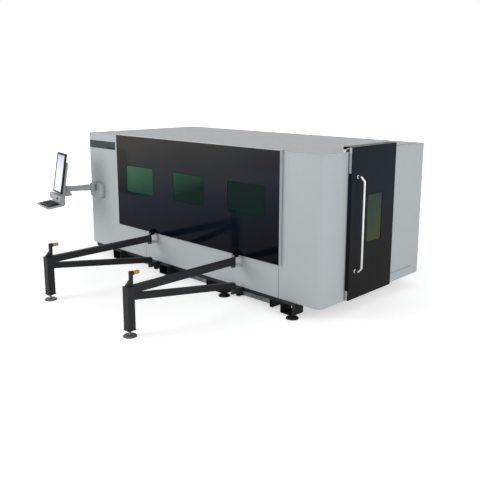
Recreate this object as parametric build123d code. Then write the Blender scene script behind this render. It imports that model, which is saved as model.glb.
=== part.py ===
from build123d import *
import math
import os

# All sizes are millimetres. While it is laid out, the machine stands with its
# front left lower corner at zero: X to the right along the front, Y into the
# machine, Z up from the floor. The last lines move it over the middle of its
# own floor area.

# Cabin
cabin_length = 4870.0
cabin_depth = 2273.0
cabin_height = 2040.0
under_clearance = 180.0
cover_sheet = 3.0
seam_gap = 6.0
corner_bend = 80.0
roof_fold = 25.0
roof_bend = 12.0
plate_left = 14.0
plate_right = 735.0
plate_height = 121.0
plate_top = cabin_height - 122.0
plate_bottom = plate_top - plate_height
plate_sheet = 1.5
tab_left = 524.0
tab_right = 708.0
tab_height = 27.0
tab_proud = 1.5
left_seam_x = 1470.0
right_column_width = 660.0
right_seam_x = cabin_length - right_column_width
opening_sill_z = 680.0
screen_overlap = 54.0
side_return = 60.0

# Front screen
screen_left = 846.0
screen_end_margin = 618.0
screen_right = cabin_length - screen_end_margin
screen_bottom = 625.0
screen_rise = 6.0
screen_top = cabin_height + screen_rise
screen_proud = 50.0
screen_gap = 3.0
screen_skin = 3.0
screen_lip_reach = 40.0
window_side_margin = 255.0
window_width = 650.0
window_height = 400.0
window_drop = 650.0
window_middle_z = cabin_height - window_drop
window_pitch = (screen_right - screen_left - window_width) / 2 - window_side_margin
window_corner = 30.0
glass_thickness = 6.0
glass_lap = 20.0

# Base frame and feet
base_left = 60.0
pocket_width = 200.0
pocket_bottom = 38.0
pocket_wall = 8.0
pocket_front = -82.0
pocket_length = 208.0
first_pocket_x = 690.0
pocket_end_margin = 356.0
pocket_count = 4
pocket_pitch = ((cabin_length - pocket_end_margin - pocket_width - first_pocket_x)
                / (pocket_count - 1))
cross_member_width = 100.0
long_tube_height = 60.0
long_tube_depth = 80.0
long_tube_inset = 20.0
foot_radius = 80.0
foot_pad_height = 18.0
foot_stem_radius = 12.0
foot_nut_radius = 22.0
foot_nut_height = 10.0
foot_side_inset = 26.0
foot_end_inset = 28.0

# Frame inside the covers
frame_tube = 80.0
frame_wall = 5.0
sill_height = 60.0
top_bar_height = 60.0
inner_post_left = 760.0
inner_post_right = cabin_length - 580.0
front_beam_bottom = 500.0
front_beam_top = 620.0
service_floor_sheet = 3.0

# Beds at both sides of the worktable
bed_width = 180.0
bed_left_x = 690.0
bed_right_margin = 630.0
bed_right_x = cabin_length - bed_right_margin
bed_front = 110.0
bed_rear_margin = 93.0
bed_rear = cabin_depth - bed_rear_margin
bed_top = 1040.0
bed_beam_height = 120.0
bed_column = 150.0
rail_width = 34.0
rail_height = 32.0
rail_inset = 20.0
bearing_gap = 0.5

# Worktable
table_side_gap = 80.0
table_left = bed_left_x + bed_width + table_side_gap
table_right = bed_right_x - table_side_gap - 10.0
table_front = 215.0
table_rear = bed_rear - 365.0
table_bottom = 775.0
table_tube = 60.0
runner_rear_gap = 80.0
runner_length = bed_rear - runner_rear_gap - table_front
runner_width = 34.0
runner_height = 36.0
ledge_thickness = 16.0
ledge_reach = 70.0
slide_gap = 0.4
table_travel = 1560.0
slat_pitch = 100.0
slat_end_gap = 100.0
slat_count = int((table_right - table_left - 2 * slat_end_gap) / slat_pitch) + 1
slat_thickness = 4.0
slat_height = 65.0
slat_tooth = 15.0
slat_tooth_pitch = 62.0
slat_notch_depth = 35.0
slat_bar_height = 50.0
slat_bar_thickness = 12.0
slat_bar_inset = 24.0
slat_overhang = 16.0
slat_fit = 1.0

# Support arms in front
arm_x = (1741.0, cabin_length - 1340.0)
arm_names = ("left", "right")
hinge_y = -138.0
hinge_pin_radius = 16.0
hinge_fit = 0.05
hinge_eye_radius = 26.0
hinge_gap = 2.0
hinge_block = 54.0
beam_width = 60.0
beam_top = 594.0
beam_height = 88.0
beam_inner_end = -112.0
beam_wall = 4.0
post_width = 96.0
post_bottom = 76.0
post_foot_plate = 10.0
post_foot_width = 106.0
brace_inner_bottom = 175.0
brace_inner_top = 257.0
brace_outer_bottom = 427.0
brace_outer_top = 505.0
upright_width = 36.0
upright_top = 762.0
shoulder_rise = 70.0
buffer_radius = 23.0
buffer_length = 92.0
buffer_drop = 25.0
buffer_gap = 20.0
upright_y = -(screen_proud + table_travel + buffer_gap + buffer_length + upright_width / 2)
post_setback = 37.0
post_y = upright_y - post_setback
upper_lug_bottom = 470.0
lower_lug_bottom = 105.0
lower_pin_rise = 60.0
lug_plate = 10.0

# Rollers under the screen
roller_radius = 20.0
roller_width = 40.0
roller_pin_radius = 5.0
roller_lift = 0.3
roller_y = -118.0
fork_sheet = 6.0
fork_nose = 12.0
fork_height = 74.0

# Side door
door_front = 480.0
door_rear = 1450.0
door_bottom = 195.0
door_thickness = 48.0
door_gap = 12.0
door_skin = 3.0
door_window_front = 833.0
door_window_rear = 1160.0
door_window_bottom = 880.0
door_window_top = cabin_height - 555.0
doorway_front = 530.0
doorway_rear = 1400.0
doorway_bottom = 319.0
doorway_top = cabin_height - 256.0
seal_width = 38.0
seal_proud = 6.0
handle_y = 600.0
handle_low = 557.0
handle_high = cabin_height - 305.0
handle_radius = 15.0
handle_reach = 100.0
handle_bend = 50.0
hanger_sheet = 5.0
hanger_reach = 140.0
hanger_roller_radius = 15.0
hanger_roller_width = 24.0
hanger_pin_radius = 4.0
hanger_roller_inset = 60.0
hanger_head_gap = 4.7
track_width = 40.0
track_height = 18.0
track_from_edge = 20.0
door_track_margin = 183.0
door_travel = cabin_depth - door_track_margin - door_rear
guide_reach = 10.0
guide_height = 8.0
guide_z = 308.0

# Gantry and cutting head
gantry_beam_y = bed_rear - 300.0
gantry_beam_depth = 220.0
gantry_beam_bottom = 1200.0
gantry_beam_height = 260.0
gantry_beam_wall = 10.0
truck_length = 370.0
truck_width = 120.0
truck_lift = 20.0
beam_rail_width = 30.0
beam_rail_height = 24.0
beam_rail_edge = 40.0
carriage_width = 300.0
carriage_depth = 86.0
carriage_rest_x = 1050.0
carriage_clearance = 4.0
height_slide_width = 160.0
height_slide_plate = 14.0
height_slide_length = 500.0
head_body_width = 110.0
head_body_depth = 85.0
head_body_height = 300.0
head_barrel_radius = 40.0
head_barrel_length = 140.0
nozzle_tip_z = 1000.0
nozzle_length = 60.0
nozzle_cone_length = 60.0

# Scrap drawers
scrap_offset = 180.0
scrap_width = 556.0
scrap_bottom = 27.0
scrap_height = 66.0
scrap_front = 90.0
scrap_depth = 1500.0
scrap_wall = 2.0
scrap_runner_sheet = 6.0
scrap_runner_width = 50.0
scrap_runner_ledge = 26.0
scrap_side_gap = 2.0
scrap_handle_width = 140.0
scrap_handle_radius = 6.0
scrap_handle_reach = 32.0

# Services
cabinet_depth = 400.0
cabinet_front = 380.0
cabinet_rear = 1220.0
cabinet_top = cabin_height - 140.0
cabinet_wall = 3.0
cabinet_lap = 20.0
cabinet_door_bottom = 300.0
cabinet_door_top = cabin_height - 190.0
cabinet_door_thickness = 20.0
cabinet_hinge_radius = 9.0
cabinet_pin_radius = 4.0
cabinet_knuckle = 60.0
cabinet_hinge_z = (450.0, cabinet_door_top - 210.0)
laser_left = 100.0
laser_right = 620.0
laser_front = cabinet_rear + 110.0
laser_rear = cabin_depth - 123.0
laser_height = 1100.0
spigot_x = 2550.0
spigot_z = 520.0
spigot_radius = 100.0
spigot_wall = 3.0
spigot_length = 80.0
spigot_flange = 135.0
spigot_flange_sheet = 5.0
plenum_width = 420.0
plenum_depth = 300.0
plenum_height = 320.0
plenum_wall = 4.0
gas_x = 1100.0
gas_z = 420.0
gas_hex = 36.0
gas_bore_radius = 9.3
gas_bore_length = 20.0
gas_length = 34.0

# Operator's panel
wall_bracket_left = 50.0
wall_bracket_right = 405.0
wall_bracket_bottom = 978.0
wall_bracket_top = 1225.0
wall_bracket_depth = 80.0
swivel_x = 235.0
swivel_y = -125.0
swivel_radius = 44.0
swivel_pin_radius = 12.0
swivel_fit = 0.05
arm_bottom = 1118.0
arm_height = 84.0
arm_width = 60.0
arm_gap = 2.0
arm_nose = 62.0
arm_sleeve = 5.0
arm_sleeve_start = 55.0
arm_sleeve_end = 150.0
swivel_lug = 20.0
panel_x = 109.0
panel_y = -527.0
panel_turn = -11.5
console_half_width = 270.0
console_back = -122.0
console_front = -202.0
console_top = 1090.0
console_step_z = 1000.0
console_toe_y = -158.0
console_bottom = 940.0
console_chamfer = 24.0
neck_depth = 42.0
neck_tail = 75.0
tray_half_width = 300.0
tray_front = -415.0
tray_thickness = 20.0
tray_slope = 7.0
tray_rim = 10.0
tray_pocket = 4.0
tray_upstand = 34.0
keyboard_back_gap = 46.0
keyboard_width = 420.0
keyboard_depth = 180.0
keyboard_height = 16.0
tilt_axis_y = -124.0
tilt_axis_z = 1108.0
tilt_angle = 9.8
tilt_barrel_radius = 11.0
tilt_pin_radius = 5.0
tilt_barrel_half = 60.0
tilt_ear = 14.0
monitor_width = 385.0
monitor_height = 638.0
monitor_thickness = 30.0
monitor_offset_y = -28.0
monitor_offset_z = 321.0
monitor_back_width = 350.0
monitor_back_depth = 45.0
monitor_back_low = 24.0
monitor_back_high = 505.0
knob_x = 147.0
knob_z = 1050.0
knob_radius = 16.0
knob_length = 20.0
stop_y = -162.0
stop_z = 1045.0
stop_radius = 20.0
stop_cap = 16.0
stop_gap = 10.0
stem_radius = 8.0
stem_fit = 0.05
stem_sink = 30.0


def block(x0, x1, y0, y1, z0, z1):
    """A plain block between its low and high corners."""
    middle = Pos((x0 + x1) / 2, (y0 + y1) / 2, (z0 + z1) / 2)
    return middle * Box(x1 - x0, y1 - y0, z1 - z0)


def rod(point, axis, radius, length):
    """A round bar that starts at a point and runs along an axis."""
    place = Plane(origin=point, z_dir=axis)
    bar = Cylinder(radius, length, align=(Align.CENTER, Align.CENTER, Align.MIN))
    return place.location * bar


def cone(point, axis, radius, end_radius, length):
    """A tapered round bar that starts at a point and runs along an axis."""
    place = Plane(origin=point, z_dir=axis)
    bar = Cone(radius, end_radius, length, align=(Align.CENTER, Align.CENTER, Align.MIN))
    return place.location * bar


def tube_y(x0, x1, y0, y1, z0, z1, wall):
    """A rectangular tube along Y, open at both ends."""
    bore = block(x0 + wall, x1 - wall, y0 - 1, y1 + 1, z0 + wall, z1 - wall)
    return block(x0, x1, y0, y1, z0, z1) - bore


def tube_x(x0, x1, y0, y1, z0, z1, wall):
    """A rectangular tube along X, open at both ends."""
    bore = block(x0 - 1, x1 + 1, y0 + wall, y1 - wall, z0 + wall, z1 - wall)
    return block(x0, x1, y0, y1, z0, z1) - bore


def tube_z(x0, x1, y0, y1, z0, z1, wall):
    """A rectangular tube along Z, open at both ends."""
    bore = block(x0 + wall, x1 - wall, y0 + wall, y1 - wall, z0 - 1, z1 + 1)
    return block(x0, x1, y0, y1, z0, z1) - bore


def side_profile(points, x0, x1):
    """A solid with an outline in the YZ plane, from x0 to x1."""
    outline = make_face(Polyline([(0, y, z) for y, z in points], close=True))
    return Pos(x0, 0, 0) * extrude(outline, x1 - x0, dir=(1, 0, 0))


def front_profile(points, y0, y1):
    """A solid with an outline in the XZ plane, from y0 to y1."""
    outline = make_face(Polyline([(x, 0, z) for x, z in points], close=True))
    return Pos(0, y0, 0) * extrude(outline, y1 - y0, dir=(0, 1, 0))


def soft_window(x_mid, z_mid, width, height, corner, y0, y1):
    """A block with four rounded corners, for a window seen from the front."""
    body = block(x_mid - width / 2, x_mid + width / 2, y0, y1, z_mid - height / 2, z_mid + height / 2)
    return fillet(body.edges().filter_by(Axis.Y), corner)


nodes = {}

# Places that several sections share
inner_left = cover_sheet
inner_right = cabin_length - cover_sheet
inner_front = cover_sheet
inner_rear = cabin_depth - cover_sheet
wall_top = cabin_height - roof_fold
roof_under = cabin_height - cover_sheet
frame_top = cabin_height - roof_bend
sill_top = under_clearance + sill_height
top_bar_bottom = frame_top - top_bar_height
pocket_starts = [first_pocket_x + i * pocket_pitch for i in range(pocket_count)]
opening_left = screen_left + screen_overlap
long_tube_rear = cabin_depth - long_tube_inset
pocket_rear = cabin_depth - pocket_front
track_top = cabin_height + track_height
hanger_roller_z = track_top + roller_lift + hanger_roller_radius
door_top = hanger_roller_z + hanger_roller_radius + hanger_head_gap + hanger_sheet

# Base frame: open boxes for the forks of a lift truck, with long tubes between them
base = []
for x in pocket_starts:
    for y0 in (pocket_front, pocket_rear - pocket_length):
        base.append(tube_y(x, x + pocket_width, y0, y0 + pocket_length,
                           pocket_bottom, under_clearance, pocket_wall))
long_ends = [base_left]
for x in pocket_starts:
    long_ends += [x, x + pocket_width]
for x0, x1 in zip(long_ends[0:-1:2], long_ends[1::2]):
    for y0 in (long_tube_inset, long_tube_rear - long_tube_depth):
        base.append(tube_x(x0, x1, y0, y0 + long_tube_depth,
                           under_clearance - long_tube_height, under_clearance, frame_wall))
for x in pocket_starts[1:-1]:
    x0 = x + (pocket_width - cross_member_width) / 2
    base.append(tube_y(x0, x0 + cross_member_width, inner_front + frame_tube,
                       inner_rear - frame_tube, under_clearance, sill_top, frame_wall))
nodes["base_frame"] = base

# Levelling feet under the boxes
feet = []
foot_stem_top = pocket_bottom
for x in pocket_starts:
    for y in (pocket_front + foot_end_inset, pocket_rear - foot_end_inset):
        centre_x = x + pocket_width - foot_side_inset
        pad = rod((centre_x, y, 0), (0, 0, 1), foot_radius, foot_pad_height)
        pad = chamfer(pad.edges().group_by(Axis.Z)[-1], foot_pad_height * 0.55)
        stem = rod((centre_x, y, foot_pad_height), (0, 0, 1), foot_stem_radius,
                   foot_stem_top - foot_pad_height)
        nut = extrude(Plane(origin=(centre_x, y, foot_stem_top - foot_nut_height))
                      * RegularPolygon(foot_nut_radius, 6), foot_nut_height)
        feet.append(pad + stem + nut)
nodes["levelling_feet"] = feet

# Frame inside the covers
frame = []
rear_bar_front = inner_rear - frame_tube
for z0, height in ((under_clearance, sill_height), (top_bar_bottom, top_bar_height)):
    front_bar = block(inner_left, inner_right, inner_front, inner_front + frame_tube, z0, z0 + height)
    corner = front_bar.edges().filter_by(Axis.Z).sort_by(Axis.X)[-2:].sort_by(Axis.Y)[0]
    frame.append(fillet(corner, corner_bend - cover_sheet))
    frame.append(tube_x(inner_left, inner_right, rear_bar_front, inner_rear, z0, z0 + height, frame_wall))
    for x0 in (inner_left, inner_right - frame_tube):
        frame.append(tube_y(x0, x0 + frame_tube, inner_front + frame_tube, rear_bar_front,
                            z0, z0 + height, frame_wall))
post_places = [(inner_left, inner_front), (inner_post_left, inner_front), (inner_post_right, inner_front),
               (inner_right - corner_bend - frame_tube, inner_front),
               (inner_left, rear_bar_front), (inner_post_left, rear_bar_front),
               (inner_post_right, rear_bar_front), (inner_right - frame_tube, rear_bar_front),
               (inner_right - frame_tube, doorway_front - seam_gap - frame_tube),
               (inner_right - frame_tube, doorway_rear + seam_gap)]
for x0, y0 in post_places:
    frame.append(tube_z(x0, x0 + frame_tube, y0, y0 + frame_tube, sill_top, top_bar_bottom, frame_wall))
frame.append(tube_x(inner_post_left + frame_tube, inner_post_right, inner_front, inner_front + frame_tube,
                    front_beam_bottom, front_beam_top, frame_wall))
for x0 in (cabin_length / 3, cabin_length * 2 / 3):
    frame.append(tube_y(x0, x0 + frame_tube, inner_front + frame_tube, rear_bar_front,
                        top_bar_bottom, roof_under, frame_wall))
frame.append(block(inner_left + frame_tube, bed_left_x, inner_front + frame_tube / 2,
                   inner_rear - frame_tube / 2, sill_top, sill_top + service_floor_sheet))
nodes["enclosure_frame"] = frame

# Covers of the cabin
seat = under_clearance
left_front = front_profile([(0, seat), (left_seam_x - seam_gap / 2, seat),
                            (left_seam_x - seam_gap / 2, opening_sill_z), (opening_left, opening_sill_z),
                            (opening_left, wall_top), (0, wall_top)], 0, cover_sheet)
nodes["left_column_cover"] = left_front + block(0, cover_sheet, 0, side_return, seat, wall_top)

plate = block(plate_left, plate_right, -plate_sheet, 0, plate_bottom, plate_top)
plate += block(tab_left, tab_right, -plate_sheet - tab_proud, -plate_sheet, plate_bottom,
               plate_bottom + tab_height)
nodes["name_plate"] = plate

nodes["front_skirt_cover"] = block(left_seam_x + seam_gap / 2, right_seam_x - seam_gap / 2,
                                   0, cover_sheet, seat, opening_sill_z)

column_side_end = door_front
outer = block(right_seam_x + seam_gap / 2, cabin_length, 0, column_side_end, seat, wall_top)
outer = fillet(outer.edges().filter_by(Axis.Z).sort_by(Axis.X)[-2:].sort_by(Axis.Y)[0], corner_bend)
hollow = block(right_seam_x - corner_bend, inner_right, inner_front, column_side_end + corner_bend,
               seat - 1, wall_top + 1)
hollow = fillet(hollow.edges().filter_by(Axis.Z).sort_by(Axis.X)[-2:].sort_by(Axis.Y)[0],
                corner_bend - cover_sheet)
nodes["right_column_cover"] = outer - hollow

doorway = block(inner_right - 1, cabin_length + 1, doorway_front, doorway_rear, doorway_bottom, doorway_top)
nodes["right_side_cover"] = block(inner_right, cabin_length, column_side_end + seam_gap, cabin_depth,
                                  seat, wall_top) - doorway

rear = block(side_return + seam_gap, inner_right, inner_rear, cabin_depth, seat, wall_top)
rear -= rod((spigot_x, inner_rear - 1, spigot_z), (0, 1, 0), spigot_radius - spigot_wall, cover_sheet + 2)
rear -= rod((gas_x, inner_rear - 1, gas_z), (0, 1, 0), gas_bore_radius, cover_sheet + 2)
nodes["rear_cover"] = rear

cabinet_mouth = block(-1, cover_sheet + 1, cabinet_front + cabinet_lap, cabinet_rear - cabinet_lap,
                      cabinet_door_bottom, cabinet_door_top)
left_side = block(0, cover_sheet, side_return + seam_gap, cabin_depth, seat, wall_top)
left_side += block(0, side_return, inner_rear, cabin_depth, seat, wall_top)
left_side_parts = [left_side - cabinet_mouth]

roof = block(0, cabin_length, 0, cabin_depth, wall_top + 1, cabin_height)
roof = fillet(roof.edges().filter_by(Axis.Z).sort_by(Axis.X)[-2:].sort_by(Axis.Y)[0], corner_bend)
roof = fillet(roof.edges().group_by(Axis.Z)[-1], roof_bend)
roof_hollow = block(inner_left, inner_right, inner_front, inner_rear, wall_top, roof_under)
roof_hollow = fillet(roof_hollow.edges().filter_by(Axis.Z).sort_by(Axis.X)[-2:].sort_by(Axis.Y)[0],
                     corner_bend - cover_sheet)
roof_hollow = fillet(roof_hollow.edges().group_by(Axis.Z)[-1], roof_bend - cover_sheet)
nodes["roof_cover"] = roof - roof_hollow

# Beds: a welded side frame left and right of the worktable, with its linear rail
beds = []
bed_rails = []
for x0 in (bed_left_x, bed_right_x):
    x1 = x0 + bed_width
    beds.append(tube_y(x0, x1, bed_front, bed_rear, bed_top - bed_beam_height, bed_top, pocket_wall))
    beds.append(tube_y(x0, x1, bed_front, bed_rear, under_clearance, under_clearance + bed_beam_height,
                       pocket_wall))
    column_gap = (bed_rear - bed_front - bed_column) / 2
    for i in range(3):
        y0 = bed_front + i * column_gap
        beds.append(tube_z(x0, x1, y0, y0 + bed_column, under_clearance + bed_beam_height,
                           bed_top - bed_beam_height, pocket_wall))
    rail_x = (x0 + x1) / 2
    rail = block(rail_x - rail_width / 2, rail_x + rail_width / 2, bed_front + rail_inset,
                 bed_rear - rail_inset / 2, bed_top, bed_top + rail_height)
    rail = chamfer(rail.edges().filter_by(Axis.Y).group_by(Axis.Z)[-1], rail_width / 8)
    bed_rails.append(rail)
nodes["bed_rails"] = bed_rails

# Ledges welded to the inner sides of the beds, which carry the runners of the worktable
ledge_top = table_bottom - slide_gap
for x_wall, side in ((bed_left_x + bed_width, 1), (bed_right_x, -1)):
    x_in = x_wall + side * ledge_reach
    x_lo = min(x_wall, x_in)
    x_hi = max(x_wall, x_in)
    ledge = block(x_lo, x_hi, bed_front, bed_rear, ledge_top - ledge_thickness, ledge_top)
    x_back = x_wall + side * (ledge_reach - runner_width) / 2
    ledge += block(min(x_wall, x_back), max(x_wall, x_back), bed_front, bed_rear,
                   ledge_top - ledge_thickness * 3, ledge_top)
    beds.append(ledge)
nodes["bed_side_frames"] = beds

# Worktable: tube frame, runners, notched bars and the slats that carry the sheet
table_top = table_bottom + table_tube
table = tube_x(table_left, table_right, table_front, table_front + table_tube,
               table_bottom, table_top, frame_wall)
table += tube_x(table_left, table_right, table_rear - table_tube, table_rear,
                table_bottom, table_top, frame_wall)
cross_gap = (table_right - table_left - table_tube) / 4
for i in range(5):
    x0 = table_left + i * cross_gap
    table += tube_y(x0, x0 + table_tube, table_front + table_tube, table_rear - table_tube,
                    table_bottom, table_top, frame_wall)
screen_back = -screen_gap
screen_sheet_back = -screen_proud + screen_skin
for i in (1, 2, 3):
    x0 = table_left + i * cross_gap
    table += tube_y(x0, x0 + table_tube, screen_sheet_back, table_front,
                    table_bottom, table_top, frame_wall)
runner_left = bed_left_x + bed_width + ledge_reach - runner_width
runner_right = bed_right_x - ledge_reach
for x0, foot0, foot1 in ((runner_left, runner_left + runner_width / 2, table_left + 1),
                         (runner_right, table_right - 1, runner_right + runner_width / 2)):
    table += block(x0, x0 + runner_width, table_front, table_front + runner_length, table_bottom,
                   table_bottom + runner_height)
    table += block(foot0, foot1, table_front, table_rear, table_bottom, table_bottom + runner_height)
table = [table]

slat_first_x = (table_left + table_right) / 2 - (slat_count - 1) * slat_pitch / 2
slat_bottom = table_top + slat_bar_height - slat_notch_depth
for y0 in (table_front + slat_bar_inset, table_rear - slat_bar_inset - slat_bar_thickness):
    bar = block(table_left, table_right, y0, y0 + slat_bar_thickness, table_top, table_top + slat_bar_height)
    notch_half = (slat_thickness + slat_fit) / 2
    for i in range(slat_count):
        x = slat_first_x + i * slat_pitch
        bar -= block(x - notch_half, x + notch_half, y0 - 1, y0 + slat_bar_thickness + 1,
                     slat_bottom, table_top + slat_bar_height + 1)
    table.append(bar)
nodes["table_frame"] = table

slat_y0 = table_front + slat_bar_inset - slat_overhang
slat_y1 = table_rear - slat_bar_inset + slat_overhang
slat_top = slat_bottom + slat_height
tooth_count = int((slat_y1 - slat_y0 - 2 * slat_overhang) / slat_tooth_pitch)
tooth_start = (slat_y0 + slat_y1) / 2 - tooth_count * slat_tooth_pitch / 2
outline = [(slat_y0, slat_bottom), (slat_y1, slat_bottom), (slat_y1, slat_top - slat_tooth)]
for i in range(tooth_count, 0, -1):
    right = tooth_start + i * slat_tooth_pitch
    outline += [(right, slat_top - slat_tooth), (right - slat_tooth_pitch / 2, slat_top)]
outline += [(tooth_start, slat_top - slat_tooth), (slat_y0, slat_top - slat_tooth)]
slat = side_profile(outline, -slat_thickness / 2, slat_thickness / 2)
nodes["support_slats"] = [Pos(slat_first_x + i * slat_pitch, 0, 0) * slat for i in range(slat_count)]

# Front screen: a shallow tray of dark sheet with three windows and a lip over the roof
screen_front = -screen_proud
panel = block(screen_left, screen_right, screen_front, screen_back, screen_bottom, screen_top)
panel -= block(screen_left + screen_skin, screen_right - screen_skin, screen_front + screen_skin,
               screen_back + 1, screen_bottom + screen_skin, screen_top - screen_skin)
panel += block(screen_left, screen_right, screen_back, screen_lip_reach,
               screen_top - screen_skin, screen_top)
screen_middle = (screen_left + screen_right) / 2
window_centres = [screen_middle + i * window_pitch for i in (-1, 0, 1)]
for x in window_centres:
    panel -= soft_window(x, window_middle_z, window_width, window_height, window_corner,
                         screen_front - 1, screen_front + screen_skin + 1)
screen_parts = [panel]

glass_front = screen_front + screen_skin
nodes["screen_windows"] = [soft_window(x, window_middle_z, window_width + 2 * glass_lap,
                                       window_height + 2 * glass_lap, window_corner + glass_lap,
                                       glass_front, glass_front + glass_thickness)
                           for x in window_centres]

# Rollers under the screen, which run out over the support arms
roller_z = beam_top + roller_lift + roller_radius
pin_half = roller_width / 2 + 1
fork_half = pin_half + fork_sheet
fork_top = roller_z + fork_height
rollers = []
for x in arm_x:
    fork = rod((x - fork_half, roller_y, roller_z), (1, 0, 0), roller_pin_radius, 2 * fork_half)
    for x0 in (x - fork_half, x + pin_half):
        fork += side_profile([(roller_y - fork_nose, roller_z - fork_nose),
                              (screen_front - 1, roller_z - fork_nose), (screen_front - 1, fork_top),
                              (screen_front - 20, fork_top), (roller_y - fork_nose, roller_z + fork_nose)],
                             x0, x0 + fork_sheet)
    fork += block(x - fork_half, x + fork_half, screen_front - fork_sheet, screen_front,
                  screen_bottom + 1, fork_top)
    screen_parts.append(fork)
    wheel = rod((x - roller_width / 2, roller_y, roller_z), (1, 0, 0), roller_radius, roller_width)
    wheel = chamfer(wheel.edges().filter_by(GeomType.CIRCLE), 1.5)
    wheel -= rod((x - roller_width, roller_y, roller_z), (1, 0, 0),
                 roller_pin_radius + hinge_fit, 2 * roller_width)
    rollers.append(wheel)
nodes["screen_panel"] = screen_parts
nodes["support_rollers"] = rollers

# Support arms: each is a beam, a sloping brace and a post with its foot
beam_bottom = beam_top - beam_height
upper_lug_top = beam_bottom - hinge_gap
lower_lug_top = brace_inner_bottom - hinge_gap
block_start = beam_inner_end - hinge_block
post_front_face = post_y + post_width / 2
arm_run = beam_inner_end - post_front_face
brace_fall = (brace_outer_bottom - brace_inner_bottom) / arm_run
hinges = []
for x, side in zip(arm_x, arm_names):
    half = beam_width / 2

    # Beam with a bored block at its inner end
    beam = tube_y(x - half, x + half, post_front_face, block_start, beam_bottom, beam_top, beam_wall)
    beam += block(x - half, x + half, block_start, beam_inner_end, beam_bottom, beam_top)
    beam -= rod((x, hinge_y, beam_bottom - 1), (0, 0, 1), hinge_pin_radius + hinge_fit, beam_height + 2)

    # Brace of the same tube, bored from below at its inner end
    brace = side_profile([(beam_inner_end, brace_inner_bottom), (beam_inner_end, brace_inner_top),
                          (post_front_face, brace_outer_top), (post_front_face, brace_outer_bottom)],
                         x - half, x + half)
    inside_low = brace_inner_bottom + brace_fall * hinge_block + beam_wall
    inside_high = brace_inner_top + brace_fall * hinge_block - beam_wall
    brace -= side_profile([(block_start, inside_low), (block_start, inside_high),
                           (post_front_face, brace_outer_top - beam_wall),
                           (post_front_face, brace_outer_bottom + beam_wall)],
                          x - half + beam_wall, x + half - beam_wall)
    brace -= rod((x, hinge_y, brace_inner_bottom - 1), (0, 0, 1),
                 hinge_pin_radius + hinge_fit, lower_pin_rise + 3)

    # Post with its sloping shoulder, upright and foot plate, then the levelling foot
    post_half = post_width / 2
    post = block(x - post_half, x + post_half, post_y - post_half, post_front_face, post_bottom, beam_top)
    plate_half = post_foot_width / 2
    post += block(x - plate_half, x + plate_half, post_y - plate_half, post_y + plate_half,
                  post_bottom, post_bottom + post_foot_plate)
    upright_half = upright_width / 2
    post += side_profile([(post_y - post_half, beam_top - 1), (post_front_face, beam_top - 1),
                          (post_front_face, beam_top), (upright_y + upright_half, beam_top),
                          (upright_y + upright_half, upright_top),
                          (upright_y - upright_half, upright_top),
                          (upright_y - upright_half, beam_top + shoulder_rise),
                          (post_y - post_half, beam_top)], x - upright_half, x + upright_half)
    pad = rod((x, post_y, 0), (0, 0, 1), foot_radius, foot_pad_height)
    pad = chamfer(pad.edges().group_by(Axis.Z)[-1], foot_pad_height * 0.55)
    pad += rod((x, post_y, foot_pad_height), (0, 0, 1), foot_stem_radius, post_bottom - foot_pad_height)
    pad += extrude(Plane(origin=(x, post_y, post_bottom - foot_nut_height))
                   * RegularPolygon(foot_nut_radius, 6), foot_nut_height)
    nodes[side + "_arm_frame"] = [beam, brace, post]
    nodes[side + "_arm_foot"] = pad

    # Buffer that stops the screen at the end of its travel
    buffer_z = upright_top - buffer_drop
    buffer_start = upright_y + upright_half
    buffer = rod((x, buffer_start, buffer_z), (0, 1, 0), buffer_radius, buffer_length)
    nodes[side + "_arm_buffer"] = fillet(buffer.edges().filter_by(GeomType.CIRCLE).sort_by(Axis.Y)[-1], 8)

    # Hinge brackets on the machine with their pins
    upper = block(x - hinge_eye_radius, x + hinge_eye_radius, hinge_y, -lug_plate,
                  upper_lug_bottom, upper_lug_top)
    upper += rod((x, hinge_y, upper_lug_bottom), (0, 0, 1), hinge_eye_radius,
                 upper_lug_top - upper_lug_bottom)
    upper += block(x - hinge_eye_radius * 1.6, x + hinge_eye_radius * 1.6, -lug_plate, 0,
                   upper_lug_bottom - lug_plate, beam_top)
    upper += rod((x, hinge_y, upper_lug_bottom), (0, 0, 1), hinge_pin_radius, beam_top - 3 - upper_lug_bottom)
    lower = block(x - hinge_eye_radius, x + hinge_eye_radius, hinge_y, long_tube_inset,
                  lower_lug_bottom, lower_lug_top)
    lower += rod((x, hinge_y, lower_lug_bottom), (0, 0, 1), hinge_eye_radius,
                 lower_lug_top - lower_lug_bottom)
    lower += rod((x, hinge_y, lower_lug_bottom), (0, 0, 1), hinge_pin_radius,
                 brace_inner_bottom + lower_pin_rise - lower_lug_bottom)
    hinges += [upper, lower]
nodes["arm_hinge_brackets"] = hinges

# Side door: a dark tray with one window, a hanger over the roof and a bent handle
door_inner_x = cabin_length + door_gap
door_outer_x = door_inner_x + door_thickness
door = block(door_inner_x, door_outer_x, door_front, door_rear, door_bottom, door_top - hanger_sheet)
door -= block(door_inner_x - 1, door_outer_x - door_skin, door_front + door_skin, door_rear - door_skin,
              door_bottom + door_skin, door_top - hanger_sheet - door_skin)
window_cut = block(door_outer_x - door_skin - 1, door_outer_x + 1, door_window_front, door_window_rear,
                   door_window_bottom, door_window_top)
door -= fillet(window_cut.edges().filter_by(Axis.X), window_corner)
nodes["side_door_panel"] = door

pane = block(door_outer_x - door_skin - glass_thickness, door_outer_x - door_skin,
             door_window_front - glass_lap, door_window_rear + glass_lap,
             door_window_bottom - glass_lap, door_window_top + glass_lap)
nodes["side_door_window"] = fillet(pane.edges().filter_by(Axis.X), window_corner + glass_lap)

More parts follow.
